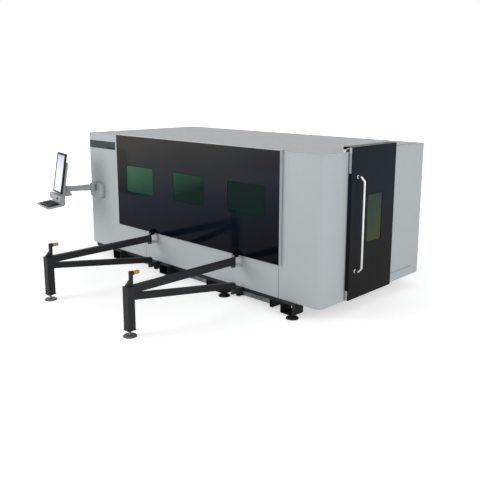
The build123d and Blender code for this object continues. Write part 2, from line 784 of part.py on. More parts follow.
hanger_inner_x = door_outer_x - hanger_reach
hanger = block(hanger_inner_x, door_outer_x, door_front, door_rear, door_top - hanger_sheet, door_top)
hanger += block(hanger_inner_x, hanger_inner_x + hanger_sheet, door_front, door_rear,
                hanger_roller_z - hanger_pin_radius * 2, door_top)
track_right = cabin_length - track_from_edge
track_left = track_right - track_width
roller_mid_x = (track_left + track_right) / 2
hanger_roller_y = (door_front + hanger_roller_inset, door_rear - hanger_roller_inset)
for y, name in zip(hanger_roller_y, ("front", "rear")):
    pin_start = hanger_inner_x + hanger_sheet
    pin_end = roller_mid_x + hanger_roller_width / 2 + 1
    hanger += rod((pin_start, y, hanger_roller_z), (1, 0, 0), hanger_pin_radius,
                  pin_end + hanger_sheet - pin_start)
    hanger += block(pin_end, pin_end + hanger_sheet, y - hanger_roller_radius, y + hanger_roller_radius,
                    hanger_roller_z - hanger_pin_radius * 2, door_top - hanger_sheet)
    wheel = rod((roller_mid_x - hanger_roller_width / 2, y, hanger_roller_z), (1, 0, 0),
                hanger_roller_radius, hanger_roller_width)
    wheel = chamfer(wheel.edges().filter_by(GeomType.CIRCLE), 1)
    wheel -= rod((roller_mid_x - hanger_roller_width, y, hanger_roller_z), (1, 0, 0),
                 hanger_pin_radius + hinge_fit, 2 * hanger_roller_width)
    nodes[name + "_door_roller"] = wheel
nodes["side_door_hanger"] = hanger

door_track = block(track_left, track_right, door_front - hanger_roller_inset / 2,
                   door_rear + door_travel, cabin_height, track_top)
bottom_guide = block(cabin_length, cabin_length + guide_reach, door_rear + seam_gap,
                     door_rear + door_travel, guide_z - guide_height / 2, guide_z + guide_height / 2)
nodes["door_tracks"] = [door_track, bottom_guide]

nodes["door_seal"] = block(cabin_length, cabin_length + seal_proud, doorway_front - seal_width,
                           doorway_front, doorway_bottom, doorway_top)

# Handle: a round bar bent at 45 degrees at both ends, on two standoffs
grip_x = door_outer_x + handle_reach
handle_line = FilletPolyline([(door_outer_x, handle_y, handle_high),
                              (grip_x - handle_bend, handle_y, handle_high),
                              (grip_x, handle_y, handle_high - handle_bend),
                              (grip_x, handle_y, handle_low + handle_bend),
                              (grip_x - handle_bend, handle_y, handle_low),
                              (door_outer_x, handle_y, handle_low)], radius=handle_radius * 1.6)
handle_plane = Plane(origin=(door_outer_x, handle_y, handle_high), z_dir=(1, 0, 0))
handle = sweep(handle_plane * Circle(handle_radius), path=handle_line)
for z in (handle_low, handle_high):
    handle += rod((door_outer_x, handle_y, z), (1, 0, 0), handle_radius * 1.5, 6)
nodes["side_door_handle"] = handle

# Gantry: a beam across the worktable on two trucks, with two rails on its front face
rail_left_x = bed_left_x + bed_width / 2
rail_right_x = bed_right_x + bed_width / 2
gantry = [tube_x(rail_left_x - truck_width / 2, rail_right_x + truck_width / 2, gantry_beam_y,
                 gantry_beam_y + gantry_beam_depth, gantry_beam_bottom,
                 gantry_beam_bottom + gantry_beam_height, gantry_beam_wall)]
truck_y0 = gantry_beam_y + gantry_beam_depth / 2 - truck_length / 2
for x in (rail_left_x, rail_right_x):
    truck = block(x - truck_width / 2, x + truck_width / 2, truck_y0, truck_y0 + truck_length,
                  bed_top + truck_lift, gantry_beam_bottom)
    truck -= block(x - rail_width / 2 - bearing_gap, x + rail_width / 2 + bearing_gap,
                   truck_y0 - 1, truck_y0 + truck_length + 1,
                   bed_top, bed_top + rail_height + bearing_gap)
    gantry.append(truck)
nodes["gantry_beam"] = gantry

beam_rail_z = (gantry_beam_bottom + beam_rail_edge, gantry_beam_bottom + gantry_beam_height - beam_rail_edge)
nodes["gantry_rails"] = [block(rail_left_x + truck_width / 2, rail_right_x - truck_width / 2,
                               gantry_beam_y - beam_rail_height, gantry_beam_y,
                               z - beam_rail_width / 2, z + beam_rail_width / 2) for z in beam_rail_z]

# Carriage that runs along the beam
carriage_rear = gantry_beam_y - carriage_clearance
carriage_front = carriage_rear - carriage_depth
carriage = block(carriage_rest_x - carriage_width / 2, carriage_rest_x + carriage_width / 2,
                 carriage_front, carriage_rear, gantry_beam_bottom - 20,
                 gantry_beam_bottom + gantry_beam_height + 20)
for z in beam_rail_z:
    carriage -= block(carriage_rest_x - carriage_width, carriage_rest_x + carriage_width,
                      gantry_beam_y - beam_rail_height - bearing_gap, carriage_rear + 1,
                      z - beam_rail_width / 2 - bearing_gap, z + beam_rail_width / 2 + bearing_gap)
nodes["carriage"] = carriage

# Height slide, cutting head and nozzle
slide_rear = carriage_front - bearing_gap
slide_front = slide_rear - height_slide_plate
head_bottom = nozzle_tip_z + nozzle_length + nozzle_cone_length
head_y = slide_front - head_body_depth / 2
nodes["height_slide"] = block(carriage_rest_x - height_slide_width / 2,
                              carriage_rest_x + height_slide_width / 2,
                              slide_front, slide_rear, head_bottom, head_bottom + height_slide_length)
head = block(carriage_rest_x - head_body_width / 2, carriage_rest_x + head_body_width / 2,
             slide_front - head_body_depth, slide_front, head_bottom, head_bottom + head_body_height)
head = fillet(head.edges().filter_by(Axis.Z).group_by(Axis.Y)[0], 18)
head += rod((carriage_rest_x, head_y, head_bottom + head_body_height), (0, 0, 1),
            head_barrel_radius, head_barrel_length)
head += cone((carriage_rest_x, head_y, head_bottom - nozzle_cone_length), (0, 0, 1),
             head_barrel_radius * 0.45, head_barrel_radius, nozzle_cone_length)
nodes["cutting_head"] = head
nozzle = cone((carriage_rest_x, head_y, nozzle_tip_z), (0, 0, 1), 4, 16, nozzle_length / 2)
nozzle += rod((carriage_rest_x, head_y, nozzle_tip_z + nozzle_length / 2), (0, 0, 1), 16, nozzle_length / 2)
nozzle -= rod((carriage_rest_x, head_y, nozzle_tip_z - 1), (0, 0, 1), 1.5, nozzle_length + 2)
nodes["cutting_nozzle"] = nozzle

# Scrap drawers between the cross tubes, on ledges that hang from the long tubes
runners = []
for i, name in enumerate(("left", "middle", "right")):
    x0 = pocket_starts[i] + pocket_width + scrap_offset
    x1 = x0 + scrap_width
    tray = block(x0, x1, scrap_front, scrap_front + scrap_depth, scrap_bottom, scrap_bottom + scrap_height)
    tray -= block(x0 + scrap_wall, x1 - scrap_wall, scrap_front + scrap_wall,
                  scrap_front + scrap_depth - scrap_wall,
                  scrap_bottom + scrap_wall, scrap_bottom + scrap_height + 1)
    grip_z = scrap_bottom + scrap_height / 2
    grip_mid = (x0 + x1) / 2
    grip_half = scrap_handle_width / 2
    grip_y = scrap_front - scrap_handle_reach
    grip_end = grip_half + 3 * scrap_handle_radius
    grip = rod((grip_mid - grip_end, grip_y, grip_z), (1, 0, 0), scrap_handle_radius, 2 * grip_end)
    for gx in (grip_mid - grip_half, grip_mid + grip_half):
        grip += rod((gx, grip_y, grip_z), (0, 1, 0), scrap_handle_radius * 0.8,
                    scrap_handle_reach + scrap_wall / 2)
    nodes[name + "_scrap_drawer"] = tray + grip
    for side_x, out in ((x0, -1), (x1, 1)):
        web_in = side_x + out * scrap_side_gap
        web_out = web_in + out * scrap_runner_width
        runner_bottom = scrap_bottom - slide_gap - scrap_runner_sheet
        runner = tube_y(min(web_in, web_out), max(web_in, web_out), long_tube_inset,
                        scrap_front + scrap_depth, runner_bottom,
                        under_clearance - long_tube_height, scrap_runner_sheet)
        toe = side_x - out * scrap_runner_ledge
        runner += block(min(web_in + out, toe), max(web_in + out, toe), scrap_front,
                        scrap_front + scrap_depth, runner_bottom, scrap_bottom - slide_gap)
        runners.append(runner)
nodes["scrap_runners"] = runners

# Electrical cabinet behind the left side, with its door on pin hinges
floor_z = sill_top + service_floor_sheet
cabinet = block(inner_left, inner_left + cabinet_depth, cabinet_front, cabinet_rear, floor_z, cabinet_top)
cabinet -= block(inner_left - 1, inner_left + cabinet_depth - cabinet_wall, cabinet_front + cabinet_lap,
                 cabinet_rear - cabinet_lap, cabinet_door_bottom, cabinet_door_top)
nodes["electrical_cabinet"] = cabinet

door_back_x = -2.0
door_face_x = door_back_x - cabinet_door_thickness
cabinet_hinge_x = (door_back_x + door_face_x) / 2
cabinet_hinge_y = cabinet_rear + cabinet_hinge_radius + 3
leaf = block(door_face_x, door_back_x, cabinet_front, cabinet_rear,
             cabinet_door_bottom - cabinet_lap, cabinet_door_top + cabinet_lap)
leaf = fillet(leaf.edges().filter_by(Axis.Z).group_by(Axis.X)[0], 5)
leaf -= block(door_face_x - 1, door_face_x + 8, cabinet_front + 60, cabinet_front + 110, 1040, 1200)
for z in cabinet_hinge_z:
    knuckle = rod((cabinet_hinge_x, cabinet_hinge_y, z), (0, 0, 1), cabinet_hinge_radius, cabinet_knuckle)
    knuckle += block(cabinet_hinge_x - 3, cabinet_hinge_x + 3, cabinet_rear - 1, cabinet_hinge_y,
                     z, z + cabinet_knuckle)
    knuckle -= rod((cabinet_hinge_x, cabinet_hinge_y, z - 1), (0, 0, 1),
                   cabinet_pin_radius + hinge_fit, cabinet_knuckle + 2)
    leaf += knuckle
    half_hinge = rod((cabinet_hinge_x, cabinet_hinge_y, z - 1 - cabinet_knuckle / 2), (0, 0, 1),
                     cabinet_hinge_radius, cabinet_knuckle / 2)
    half_hinge += block(cabinet_hinge_x, 0, cabinet_hinge_y - 3, cabinet_hinge_y + 3,
                        z - 1 - cabinet_knuckle / 2, z - 1)
    half_hinge += block(-4, 0, cabinet_hinge_y - 3, cabinet_hinge_y + 30,
                        z - 1 - cabinet_knuckle / 2, z - 1)
    half_hinge += rod((cabinet_hinge_x, cabinet_hinge_y, z - 2), (0, 0, 1), cabinet_pin_radius,
                      cabinet_knuckle)
    left_side_parts.append(half_hinge)
nodes["cabinet_door"] = leaf
nodes["left_side_cover"] = left_side_parts

# Laser source on the service floor
source = block(laser_left, laser_right, laser_front, laser_rear, floor_z, floor_z + laser_height)
nodes["laser_source"] = fillet(source.edges().filter_by(Axis.Z), 12)

# Extraction: a plenum open towards the worktable and a spigot through the rear cover
plenum_rear = inner_rear
duct = block(spigot_x - plenum_width / 2, spigot_x + plenum_width / 2,
             plenum_rear - plenum_depth, plenum_rear,
             spigot_z - plenum_height / 2, spigot_z + plenum_height / 2)
duct -= block(spigot_x - plenum_width / 2 + plenum_wall, spigot_x + plenum_width / 2 - plenum_wall,
              plenum_rear - plenum_depth - 1, plenum_rear - plenum_wall,
              spigot_z - plenum_height / 2 + plenum_wall, spigot_z + plenum_height / 2 - plenum_wall)
duct -= rod((spigot_x, plenum_rear - plenum_wall - 1, spigot_z), (0, 1, 0),
            spigot_radius - spigot_wall, plenum_wall + 2)
nodes["extraction_plenum"] = duct
spigot = rod((spigot_x, cabin_depth, spigot_z), (0, 1, 0), spigot_radius, spigot_length)
spigot += rod((spigot_x, cabin_depth, spigot_z), (0, 1, 0), spigot_flange, spigot_flange_sheet)
spigot -= rod((spigot_x, cabin_depth - 1, spigot_z), (0, 1, 0),
              spigot_radius - spigot_wall, spigot_length + 2)
nodes["exhaust_spigot"] = spigot

# Gas inlet: a hexagon with a threaded mouth
hexagon = extrude(Plane(origin=(gas_x, cabin_depth, gas_z), z_dir=(0, 1, 0))
                  * RegularPolygon(gas_hex / 2, 6, major_radius=False), gas_length)
hexagon -= rod((gas_x, cabin_depth + gas_length - gas_bore_length, gas_z), (0, 1, 0),
               gas_bore_radius, gas_bore_length + 1)
nodes["gas_inlet"] = hexagon

# Wall bracket of the operator's panel, with two lugs and the swivel pin
bracket = block(wall_bracket_left, wall_bracket_right, -wall_bracket_depth, 0,
                wall_bracket_bottom, wall_bracket_top)
bracket = fillet(bracket.edges().filter_by(Axis.Y), 62)
bracket = fillet(bracket.faces().sort_by(Axis.Y)[0].edges(), 44)
arm_top = arm_bottom + arm_height
for z0 in (arm_bottom - arm_gap - swivel_lug, arm_top + arm_gap):
    lug = block(swivel_x - swivel_radius, swivel_x + swivel_radius, swivel_y, -wall_bracket_depth / 2,
                z0, z0 + swivel_lug)
    lug += rod((swivel_x, swivel_y, z0), (0, 0, 1), swivel_radius, swivel_lug)
    bracket += lug
bracket += rod((swivel_x, swivel_y, arm_bottom - arm_gap), (0, 0, 1), swivel_pin_radius,
               arm_height + 2 * arm_gap)
nodes["panel_wall_bracket"] = bracket

# Carrying arm between the two swivels
span = math.hypot(panel_x - swivel_x, panel_y - swivel_y)
heading = math.degrees(math.atan2(panel_y - swivel_y, panel_x - swivel_x))
arm = block(0, span + arm_nose, -arm_width / 2, arm_width / 2, arm_bottom, arm_top)
arm = fillet(arm.edges().filter_by(Axis.Z).group_by(Axis.X)[-1], arm_width / 2 - 2)
arm += block(arm_sleeve_start, arm_sleeve_end, -arm_width / 2 - arm_sleeve, arm_width / 2 + arm_sleeve,
             arm_bottom - arm_sleeve, arm_top + arm_sleeve)
for x in (0, span):
    arm += rod((x, 0, arm_bottom), (0, 0, 1), swivel_radius * 0.9, arm_height)
for x in (0, span):
    arm -= rod((x, 0, arm_bottom - 1), (0, 0, 1), swivel_pin_radius + swivel_fit, arm_height + 2)
nodes["panel_arm"] = Pos(swivel_x, swivel_y, 0) * Rot(0, 0, heading) * arm

# Console under the monitor, built about its own swivel and then turned into place
panel_place = Pos(panel_x, panel_y, 0) * Rot(0, 0, panel_turn)
console = side_profile([(console_back, console_top), (console_front, console_top),
                        (console_front, console_step_z), (console_toe_y, console_step_z - 20),
                        (console_toe_y, console_bottom), (console_back - console_chamfer, console_bottom),
                        (console_back, console_bottom + console_chamfer)],
                       -console_half_width, console_half_width)
neck_bottom = console_top - neck_depth
knuckle = swivel_radius * 0.9
console += side_profile([(console_back - 1, neck_bottom), (neck_tail, neck_bottom),
                         (neck_tail, neck_bottom + 12), (knuckle, arm_bottom - arm_gap),
                         (-knuckle, arm_bottom - arm_gap), (console_back - 1, console_top - 4)],
                        -knuckle, knuckle)
console += rod((0, 0, arm_bottom - arm_gap), (0, 0, 1), swivel_pin_radius, arm_height + arm_gap)
for x0 in (-tilt_barrel_half - tilt_ear - 1, tilt_barrel_half + 1):
    console += block(x0, x0 + tilt_ear, tilt_axis_y - tilt_barrel_radius, tilt_axis_y + tilt_barrel_radius,
                     console_top - 1, tilt_axis_z)
    console += rod((x0, tilt_axis_y, tilt_axis_z), (1, 0, 0), tilt_barrel_radius, tilt_ear)
console += rod((-tilt_barrel_half - 2, tilt_axis_y, tilt_axis_z), (1, 0, 0), tilt_pin_radius,
               2 * tilt_barrel_half + 4)
console -= rod((knob_x, console_front - 1, knob_z), (0, 1, 0), stem_radius + stem_fit, stem_sink + 1)
console -= rod((-console_half_width - 1, stop_y, stop_z), (1, 0, 0), stem_radius + stem_fit, stem_sink + 1)
nodes["panel_console"] = panel_place * console

tray_length = (console_toe_y - tray_front) / math.cos(math.radians(tray_slope))
tray_place = Pos(0, console_toe_y, console_bottom) * Rot(tray_slope, 0, 0)
tray = block(-tray_half_width, tray_half_width, -tray_length, 0, 0, tray_thickness)
tray = fillet(tray.edges().filter_by(Axis.Z).group_by(Axis.Y)[0], 20)
tray -= block(-tray_half_width + tray_rim, tray_half_width - tray_rim, -tray_length + 2 * tray_rim,
              -2 * tray_rim, tray_thickness - tray_pocket, tray_thickness + 1)
upstand = block(-console_half_width, console_half_width, console_toe_y - 4, console_toe_y,
                console_bottom, console_bottom + tray_upstand)
nodes["keyboard_tray"] = panel_place * (tray_place * tray + upstand)
keyboard = block(-keyboard_width / 2, keyboard_width / 2, -keyboard_back_gap - keyboard_depth,
                 -keyboard_back_gap, tray_thickness - tray_pocket,
                 tray_thickness - tray_pocket + keyboard_height)
nodes["keyboard"] = panel_place * tray_place * fillet(keyboard.edges().filter_by(Axis.Z), 8)

# Selector knob in the console's front and sprung emergency stop button at its left end
knob = rod((knob_x, console_front - 1 - knob_length, knob_z), (0, 1, 0), knob_radius, knob_length)
knob = chamfer(knob.edges().filter_by(GeomType.CIRCLE).sort_by(Axis.Y)[0], 2)
knob += rod((knob_x, console_front - 2, knob_z), (0, 1, 0), stem_radius, 2 + stem_sink / 2)
nodes["selector_knob"] = panel_place * knob
stop_face = -console_half_width - stop_gap
stop = rod((stop_face - stop_cap, stop_y, stop_z), (1, 0, 0), stop_radius, stop_cap)
stop = fillet(stop.edges().filter_by(GeomType.CIRCLE).sort_by(Axis.X)[0], 6)
stop += rod((stop_face - 1, stop_y, stop_z), (1, 0, 0), stem_radius, 1 + stop_gap + stem_sink / 2)
nodes["stop_button"] = panel_place * stop

# Monitor on its tilt axis: built upright about the axis, then tilted back
lean = Pos(0, tilt_axis_y, tilt_axis_z) * Rot(-tilt_angle, 0, 0)
front_y = monitor_offset_y - monitor_thickness / 2
back_y = monitor_offset_y + monitor_thickness / 2
low_z = monitor_offset_z - monitor_height / 2
case = block(-monitor_width / 2, monitor_width / 2, front_y, back_y, low_z, low_z + monitor_height)
case = fillet(case.edges().filter_by(Axis.Y), 10)
case -= block(-monitor_width / 2 + 14, monitor_width / 2 - 14, front_y - 1, front_y + 2,
              low_z + 22, low_z + monitor_height - 16)
nodes["monitor"] = panel_place * lean * case
rear_case = block(-monitor_back_width / 2, monitor_back_width / 2, back_y, back_y + monitor_back_depth,
                  monitor_back_low, monitor_back_high)
rear_case = chamfer(rear_case.edges().filter_by(Axis.X).group_by(Axis.Y)[-1].group_by(Axis.Z)[-1], 16)
rear_case = fillet(rear_case.edges().filter_by(Axis.Z).group_by(Axis.Y)[-1], 15)
barrel = rod((-tilt_barrel_half, 0, 0), (1, 0, 0), tilt_barrel_radius, 2 * tilt_barrel_half)
barrel += block(-tilt_barrel_half, tilt_barrel_half, back_y, tilt_barrel_radius, 0, monitor_back_low + 1)
barrel -= rod((-tilt_barrel_half - 1, 0, 0), (1, 0, 0), tilt_pin_radius + hinge_fit, 2 * tilt_barrel_half + 2)
nodes["monitor_rear_case"] = panel_place * lean * (rear_case + barrel)

# Move the whole machine over the middle of its floor area and write each piece
everything = []
for shape in nodes.values():
    everything += shape if isinstance(shape, list) else [shape]
envelope = Compound(everything).bounding_box()
floor_centre = ((envelope.min.X + envelope.max.X) / 2, (envelope.min.Y + envelope.max.Y) / 2)
to_origin = Pos(-floor_centre[0], -floor_centre[1], 0)

os.makedirs("parts", exist_ok=True)
for name, shape in nodes.items():
    solids = []
    for piece in (shape if isinstance(shape, list) else [shape]):
        solids += list(piece.solids())
    placed = to_origin * (Compound(solids) if len(solids) > 1 else solids[0])
    export_step(placed, os.path.join("parts", name + ".step"))
print(len(nodes), "pieces, size", envelope.size, "centre", floor_centre)
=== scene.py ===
import math
import bpy
import bmesh
from mathutils import Vector, Matrix


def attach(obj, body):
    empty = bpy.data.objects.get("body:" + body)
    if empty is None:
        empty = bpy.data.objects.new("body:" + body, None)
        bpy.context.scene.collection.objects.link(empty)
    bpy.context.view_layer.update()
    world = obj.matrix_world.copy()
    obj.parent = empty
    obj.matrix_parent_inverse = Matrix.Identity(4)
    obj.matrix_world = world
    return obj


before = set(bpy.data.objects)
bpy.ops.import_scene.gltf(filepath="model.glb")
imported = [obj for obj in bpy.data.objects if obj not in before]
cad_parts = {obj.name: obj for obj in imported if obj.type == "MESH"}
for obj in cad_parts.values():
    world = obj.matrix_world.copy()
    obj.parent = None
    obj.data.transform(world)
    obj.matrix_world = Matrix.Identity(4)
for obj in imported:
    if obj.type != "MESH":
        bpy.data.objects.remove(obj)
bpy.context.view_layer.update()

# Pieces are laid out in millimetres in the machine's own frame: X to the right along the
# front, Y into the machine, Z up, zero on the floor at the cabin's left front corner.
MIDDLE_X = 2390.1805
MIDDLE_Y = 275.0

HINGE_X = (1741.0, 3530.0)
WINDOW_X = (1426.0, 2549.0, 3672.0)
BOX_X = (690.0, 1898.0, 3106.0, 4314.0)


def at(x, y, z):
    """A point of the machine's frame as a place in the scene, in metres."""
    return Vector(((x - MIDDLE_X) / 1000, (y - MIDDLE_Y) / 1000, z / 1000))


# ---------------------------------------------------------------- node helpers
def fill(tree, node, inputs):
    """Gives a node its inputs: a socket is linked, anything else is set on the input itself."""
    for key, value in inputs.items():
        if isinstance(value, bpy.types.NodeSocket):
            tree.links.new(value, node.inputs[key])
        else:
            node.inputs[key].default_value = value


def add(tree, kind, inputs=None, **settings):
    node = tree.nodes.new(kind)
    for key, value in settings.items():
        setattr(node, key, value)
    fill(tree, node, inputs or {})
    return node


def result(tree, kind, inputs=None, **settings):
    """Adds a node and gives its first output."""
    return add(tree, kind, inputs, **settings).outputs[0]


def calc(tree, operation, *terms):
    """A number worked out from two or three others."""
    return result(tree, "ShaderNodeMath", dict(enumerate(terms)), operation=operation)


def begin_finish(name):
    finish = bpy.data.materials.new(name)
    finish.use_nodes = True
    tree = finish.node_tree
    tree.nodes.clear()
    shader = add(tree, "ShaderNodeBsdfPrincipled")
    add(tree, "ShaderNodeOutputMaterial", {"Surface": shader.outputs[0]})
    place = add(tree, "ShaderNodeTexCoord").outputs["Object"]
    return finish, tree, shader, place


def ramp(tree, factor, stops):
    """A colour ramp with (position, colour) stops; a number stands for a grey."""
    node = add(tree, "ShaderNodeValToRGB", {"Fac": factor})
    elements = node.color_ramp.elements
    while len(elements) < len(stops):
        elements.new(0.5)
    for element, (position, colour) in zip(elements, stops):
        if not isinstance(colour, tuple):
            colour = (colour, colour, colour)
        element.position = position
        element.color = (*colour, 1.0)
    return node.outputs["Color"]


def noise(tree, place, scale, detail=2.0, rough=0.5):
    return add(tree, "ShaderNodeTexNoise", {"Vector": place, "Scale": scale, "Detail": detail,
                                            "Roughness": rough}).outputs["Fac"]


def stretched(tree, place, scale):
    return result(tree, "ShaderNodeMapping", {"Vector": place, "Scale": scale})


def along(tree, place, axis):
    """The chosen coordinate of a place."""
    return add(tree, "ShaderNodeSeparateXYZ", {"Vector": place}).outputs[axis]


def span(tree, value, low, high):
    """Nought at the low level, one at the high level."""
    return result(tree, "ShaderNodeMapRange", {"Value": value, "From Min": low, "From Max": high})


def relief(tree, shader, height, strength, distance):
    bump = result(tree, "ShaderNodeBump",
                  {"Height": height, "Strength": strength, "Distance": distance})
    tree.links.new(bump, shader.inputs["Normal"])


def shade(colour, factor):
    return tuple(channel * factor for channel in colour)


def two_tones(tree, factor, colour, low, high, darker, lighter):
    """A ramp between a darker and a lighter shade of one colour."""
    return ramp(tree, factor, [(low, shade(colour, darker)), (high, shade(colour, lighter))])


def past(tree, place, axis, level):
    """One where the chosen coordinate lies past a level in metres, nought elsewhere."""
    return calc(tree, "GREATER_THAN", along(tree, place, axis), level)


def pick(tree, mask, first, second):
    """The first colour where the mask is nought, the second where it is one."""
    mix = add(tree, "ShaderNodeMix", {"Factor": mask}, data_type="RGBA")
    for key, colour in ((6, first), (7, second)):
        if isinstance(colour, tuple):
            colour = (*colour, 1.0)
        fill(tree, mix, {key: colour})
    return mix.outputs[2]


# ---------------------------------------------------------------- finishes
def powder_coat(name, colour, roughness, spread=0.05, grain=650.0, relief_depth=0.00012,
                scuffs=None, other=None, zones=(), sheen=0.5):
    """Baked powder paint: slow tone drift, fine orange peel, and rubbed spots where wanted.

    Where every one of the zones (axis, level) is passed, it has the other colour."""
    finish, tree, shader, place = begin_finish(name)
    drift = noise(tree, place, 0.9, 4.0, 0.6)
    tone = two_tones(tree, drift, colour, 0.3, 0.7, 1 - spread, 1 + spread)
    if scuffs:
        rub = noise(tree, stretched(tree, place, (1.0, 1.0, 1.6)), 26.0, 6.0, 0.7)
        tone = pick(tree, ramp(tree, rub, [(0.64, 0.0), (0.74, 1.0)]), tone, scuffs)
    if zones:
        mask = past(tree, place, *zones[0])
        for zone in zones[1:]:
            mask = calc(tree, "MULTIPLY", mask, past(tree, place, *zone))
        tone = pick(tree, mask, tone, other)
    polish = noise(tree, place, 6.0, 5.0, 0.7)
    fill(tree, shader, {
        "Base Color": tone, "Specular IOR Level": sheen,
        "Roughness": ramp(tree, polish, [(0.25, roughness - 0.05), (0.75, roughness + 0.06)])})
    relief(tree, shader, noise(tree, place, grain, 2.0), 0.25, relief_depth)
    return finish


def gloss_coat(tree, shader, place, tone, roughness, sheen):
    """Deep gloss over a tone, with dust haze and the slow waves of a rolled sheet."""
    haze = noise(tree, place, 3.5, 6.0, 0.65)
    fill(tree, shader, {
        "Base Color": tone, "Specular IOR Level": sheen,
        "Roughness": ramp(tree, haze, [(0.35, roughness), (0.8, roughness + 0.09)])})
    relief(tree, shader, noise(tree, place, 1.6, 1.0), 0.2, 0.0006)


def leaning_height(tree, place, drift, sway, lean):
    """The height with a slow drift in it, less the lean for every metre to the right."""
    lift = calc(tree, "MULTIPLY_ADD", drift, sway, along(tree, place, "Z"))
    return calc(tree, "MULTIPLY_ADD", along(tree, place, "X"), -lean, lift)


def gloss_sheet(name, low_colour, high_colour, low_z, high_z, roughness, lean, edge, sheen,
                middle):
    """The screen's dark sheet, with painted reflection: warm grey above that turns blue-black
    below and pales to the left.

    Its folded edge, past the given X and under the given Z, keeps the covers' paint."""
    finish, tree, shader, place = begin_finish(name)
    edge_x, edge_top, edge_colour = edge
    drift = noise(tree, stretched(tree, place, (0.8, 0.8, 0.5)), 1.1, 2.0)
    height = leaning_height(tree, place, drift, 0.35, lean)
    # Painted reflection: the sheet's colour lightens with height and towards the left.
    tone = ramp(tree, span(tree, height, low_z, high_z),
                [(0.0, low_colour), (0.4, shade(low_colour, middle)), (1.0, high_colour)])
    below = calc(tree, "SUBTRACT", 1.0, past(tree, place, "Z", edge_top))
    folded = calc(tree, "MULTIPLY", past(tree, place, "X", edge_x), below)
    gloss_coat(tree, shader, place, pick(tree, folded, tone, edge_colour), roughness, sheen)
    return finish


def door_sheet(name, low_colour, high_colour, shell_x, seal_low, seal_high, roughness, sheen):
    """The sliding door: a smoked outer sheet on a painted shell, with painted reflection in its
    colour, warm below and blue above.

    Between the seal's ends the shell's edge is black, as the seal is."""
    finish, tree, shader, place = begin_finish(name)
    height = along(tree, place, "Z")
    drift = calc(tree, "MULTIPLY_ADD", noise(tree, place, 0.8, 2.0), 0.4, height)
    # Painted reflection: the colour runs from warm below to blue above.
    tone = ramp(tree, span(tree, drift, 0.4, 2.3), [(0.25, low_colour), (0.6, high_colour)])
    shell = calc(tree, "SUBTRACT", 1.0, past(tree, place, "X", shell_x))
    ends = calc(tree, "MAXIMUM", calc(tree, "LESS_THAN", height, seal_low),
                past(tree, place, "Z", seal_high))
    bare = calc(tree, "MULTIPLY", shell, ends)
    gloss_coat(tree, shader, place, pick(tree, bare, tone, COVER), roughness, sheen)
    return finish


def laser_glass(name, colour, pale, low_z, high_z, lean, clear, sheen):
    """Green laser safety glass: tinted and partly clear, with painted reflection that makes it
    paler towards its top and its left.
    """
    finish, tree, shader, place = begin_finish(name)
    # Painted reflection: the tint pales with height and towards the left.
    height = leaning_height(tree, place, noise(tree, place, 1.4, 2.0), 0.3, lean)
    fill(tree, shader, {
        "Base Color": ramp(tree, span(tree, height, low_z, high_z), [(0.2, colour), (1.0, pale)]),
        "Roughness": ramp(tree, noise(tree, place, 5.0, 4.0), [(0.3, 0.03), (0.8, 0.08)]),
        "Transmission Weight": clear, "Specular IOR Level": sheen, "IOR": 1.5})
    return finish


def bare_metal(name, colour, roughness, lay, spread=0.08):
    """Ground or drawn metal: the grain runs where the lay vector is smallest."""
    finish, tree, shader, place = begin_finish(name)
    grain = noise(tree, stretched(tree, place, lay), 1.0, 4.0, 0.65)
    fill(tree, shader, {
        "Base Color": two_tones(tree, grain, colour, 0.3, 0.7, 1 - spread, 1 + spread),
        "Roughness": ramp(tree, grain, [(0.25, roughness - 0.06), (0.8, roughness + 0.1)]),
        "Metallic": 1.0})
    relief(tree, shader, grain, 0.3, 0.00004)
    return finish


def zinc_sheet(name, colour):
    """Galvanised sheet: spangle flakes in slightly different greys."""
    finish, tree, shader, place = begin_finish(name)
    flakes = add(tree, "ShaderNodeTexVoronoi",
                 {"Vector": place, "Scale": 55.0, "Randomness": 1.0}).outputs["Color"]
    tone = result(tree, "ShaderNodeSeparateColor", {0: flakes})
    fill(tree, shader, {
        "Base Color": two_tones(tree, tone, colour, 0.0, 1.0, 0.82, 1.12),
        "Roughness": ramp(tree, tone, [(0.0, 0.34), (1.0, 0.5)]), "Metallic": 0.85})
    relief(tree, shader, noise(tree, place, 90.0, 3.0), 0.15, 0.0001)
    return finish


def bright_chrome(name):
    finish, tree, shader, place = begin_finish(name)
    smear = noise(tree, stretched(tree, place, (30.0, 30.0, 4.0)), 1.0, 4.0)
    fill(tree, shader, {
        "Roughness": ramp(tree, smear, [(0.3, 0.05), (0.8, 0.14)]),
        "Base Color": ramp(tree, smear, [(0.2, (0.86, 0.87, 0.88)), (0.8, (0.93, 0.94, 0.95))]),
        "Metallic": 1.0})
    return finish


def rubber(name, colour, roughness, clear=0.0, sheen=0.5):
    finish, tree, shader, place = begin_finish(name)
    skin = noise(tree, place, 180.0, 4.0, 0.6)
    fill(tree, shader, {
        "Base Color": two_tones(tree, skin, colour, 0.3, 0.75, 0.85, 1.15),
        "Roughness": roughness, "Specular IOR Level": sheen, "Transmission Weight": clear})
    relief(tree, shader, skin, 0.3, 0.0002)
    return finish


def moulded(name, colour, roughness, sheen=0.5):
    """Moulded plastic with a fine spark-eroded texture."""
    finish, tree, shader, place = begin_finish(name)
    drift = noise(tree, place, 30.0, 3.0)
    fill(tree, shader, {
        "Base Color": two_tones(tree, drift, colour, 0.3, 0.7, 0.93, 1.07),
        "Roughness": roughness, "Specular IOR Level": sheen})
    relief(tree, shader, noise(tree, place, 900.0, 2.0), 0.3, 0.00008)
    return finish


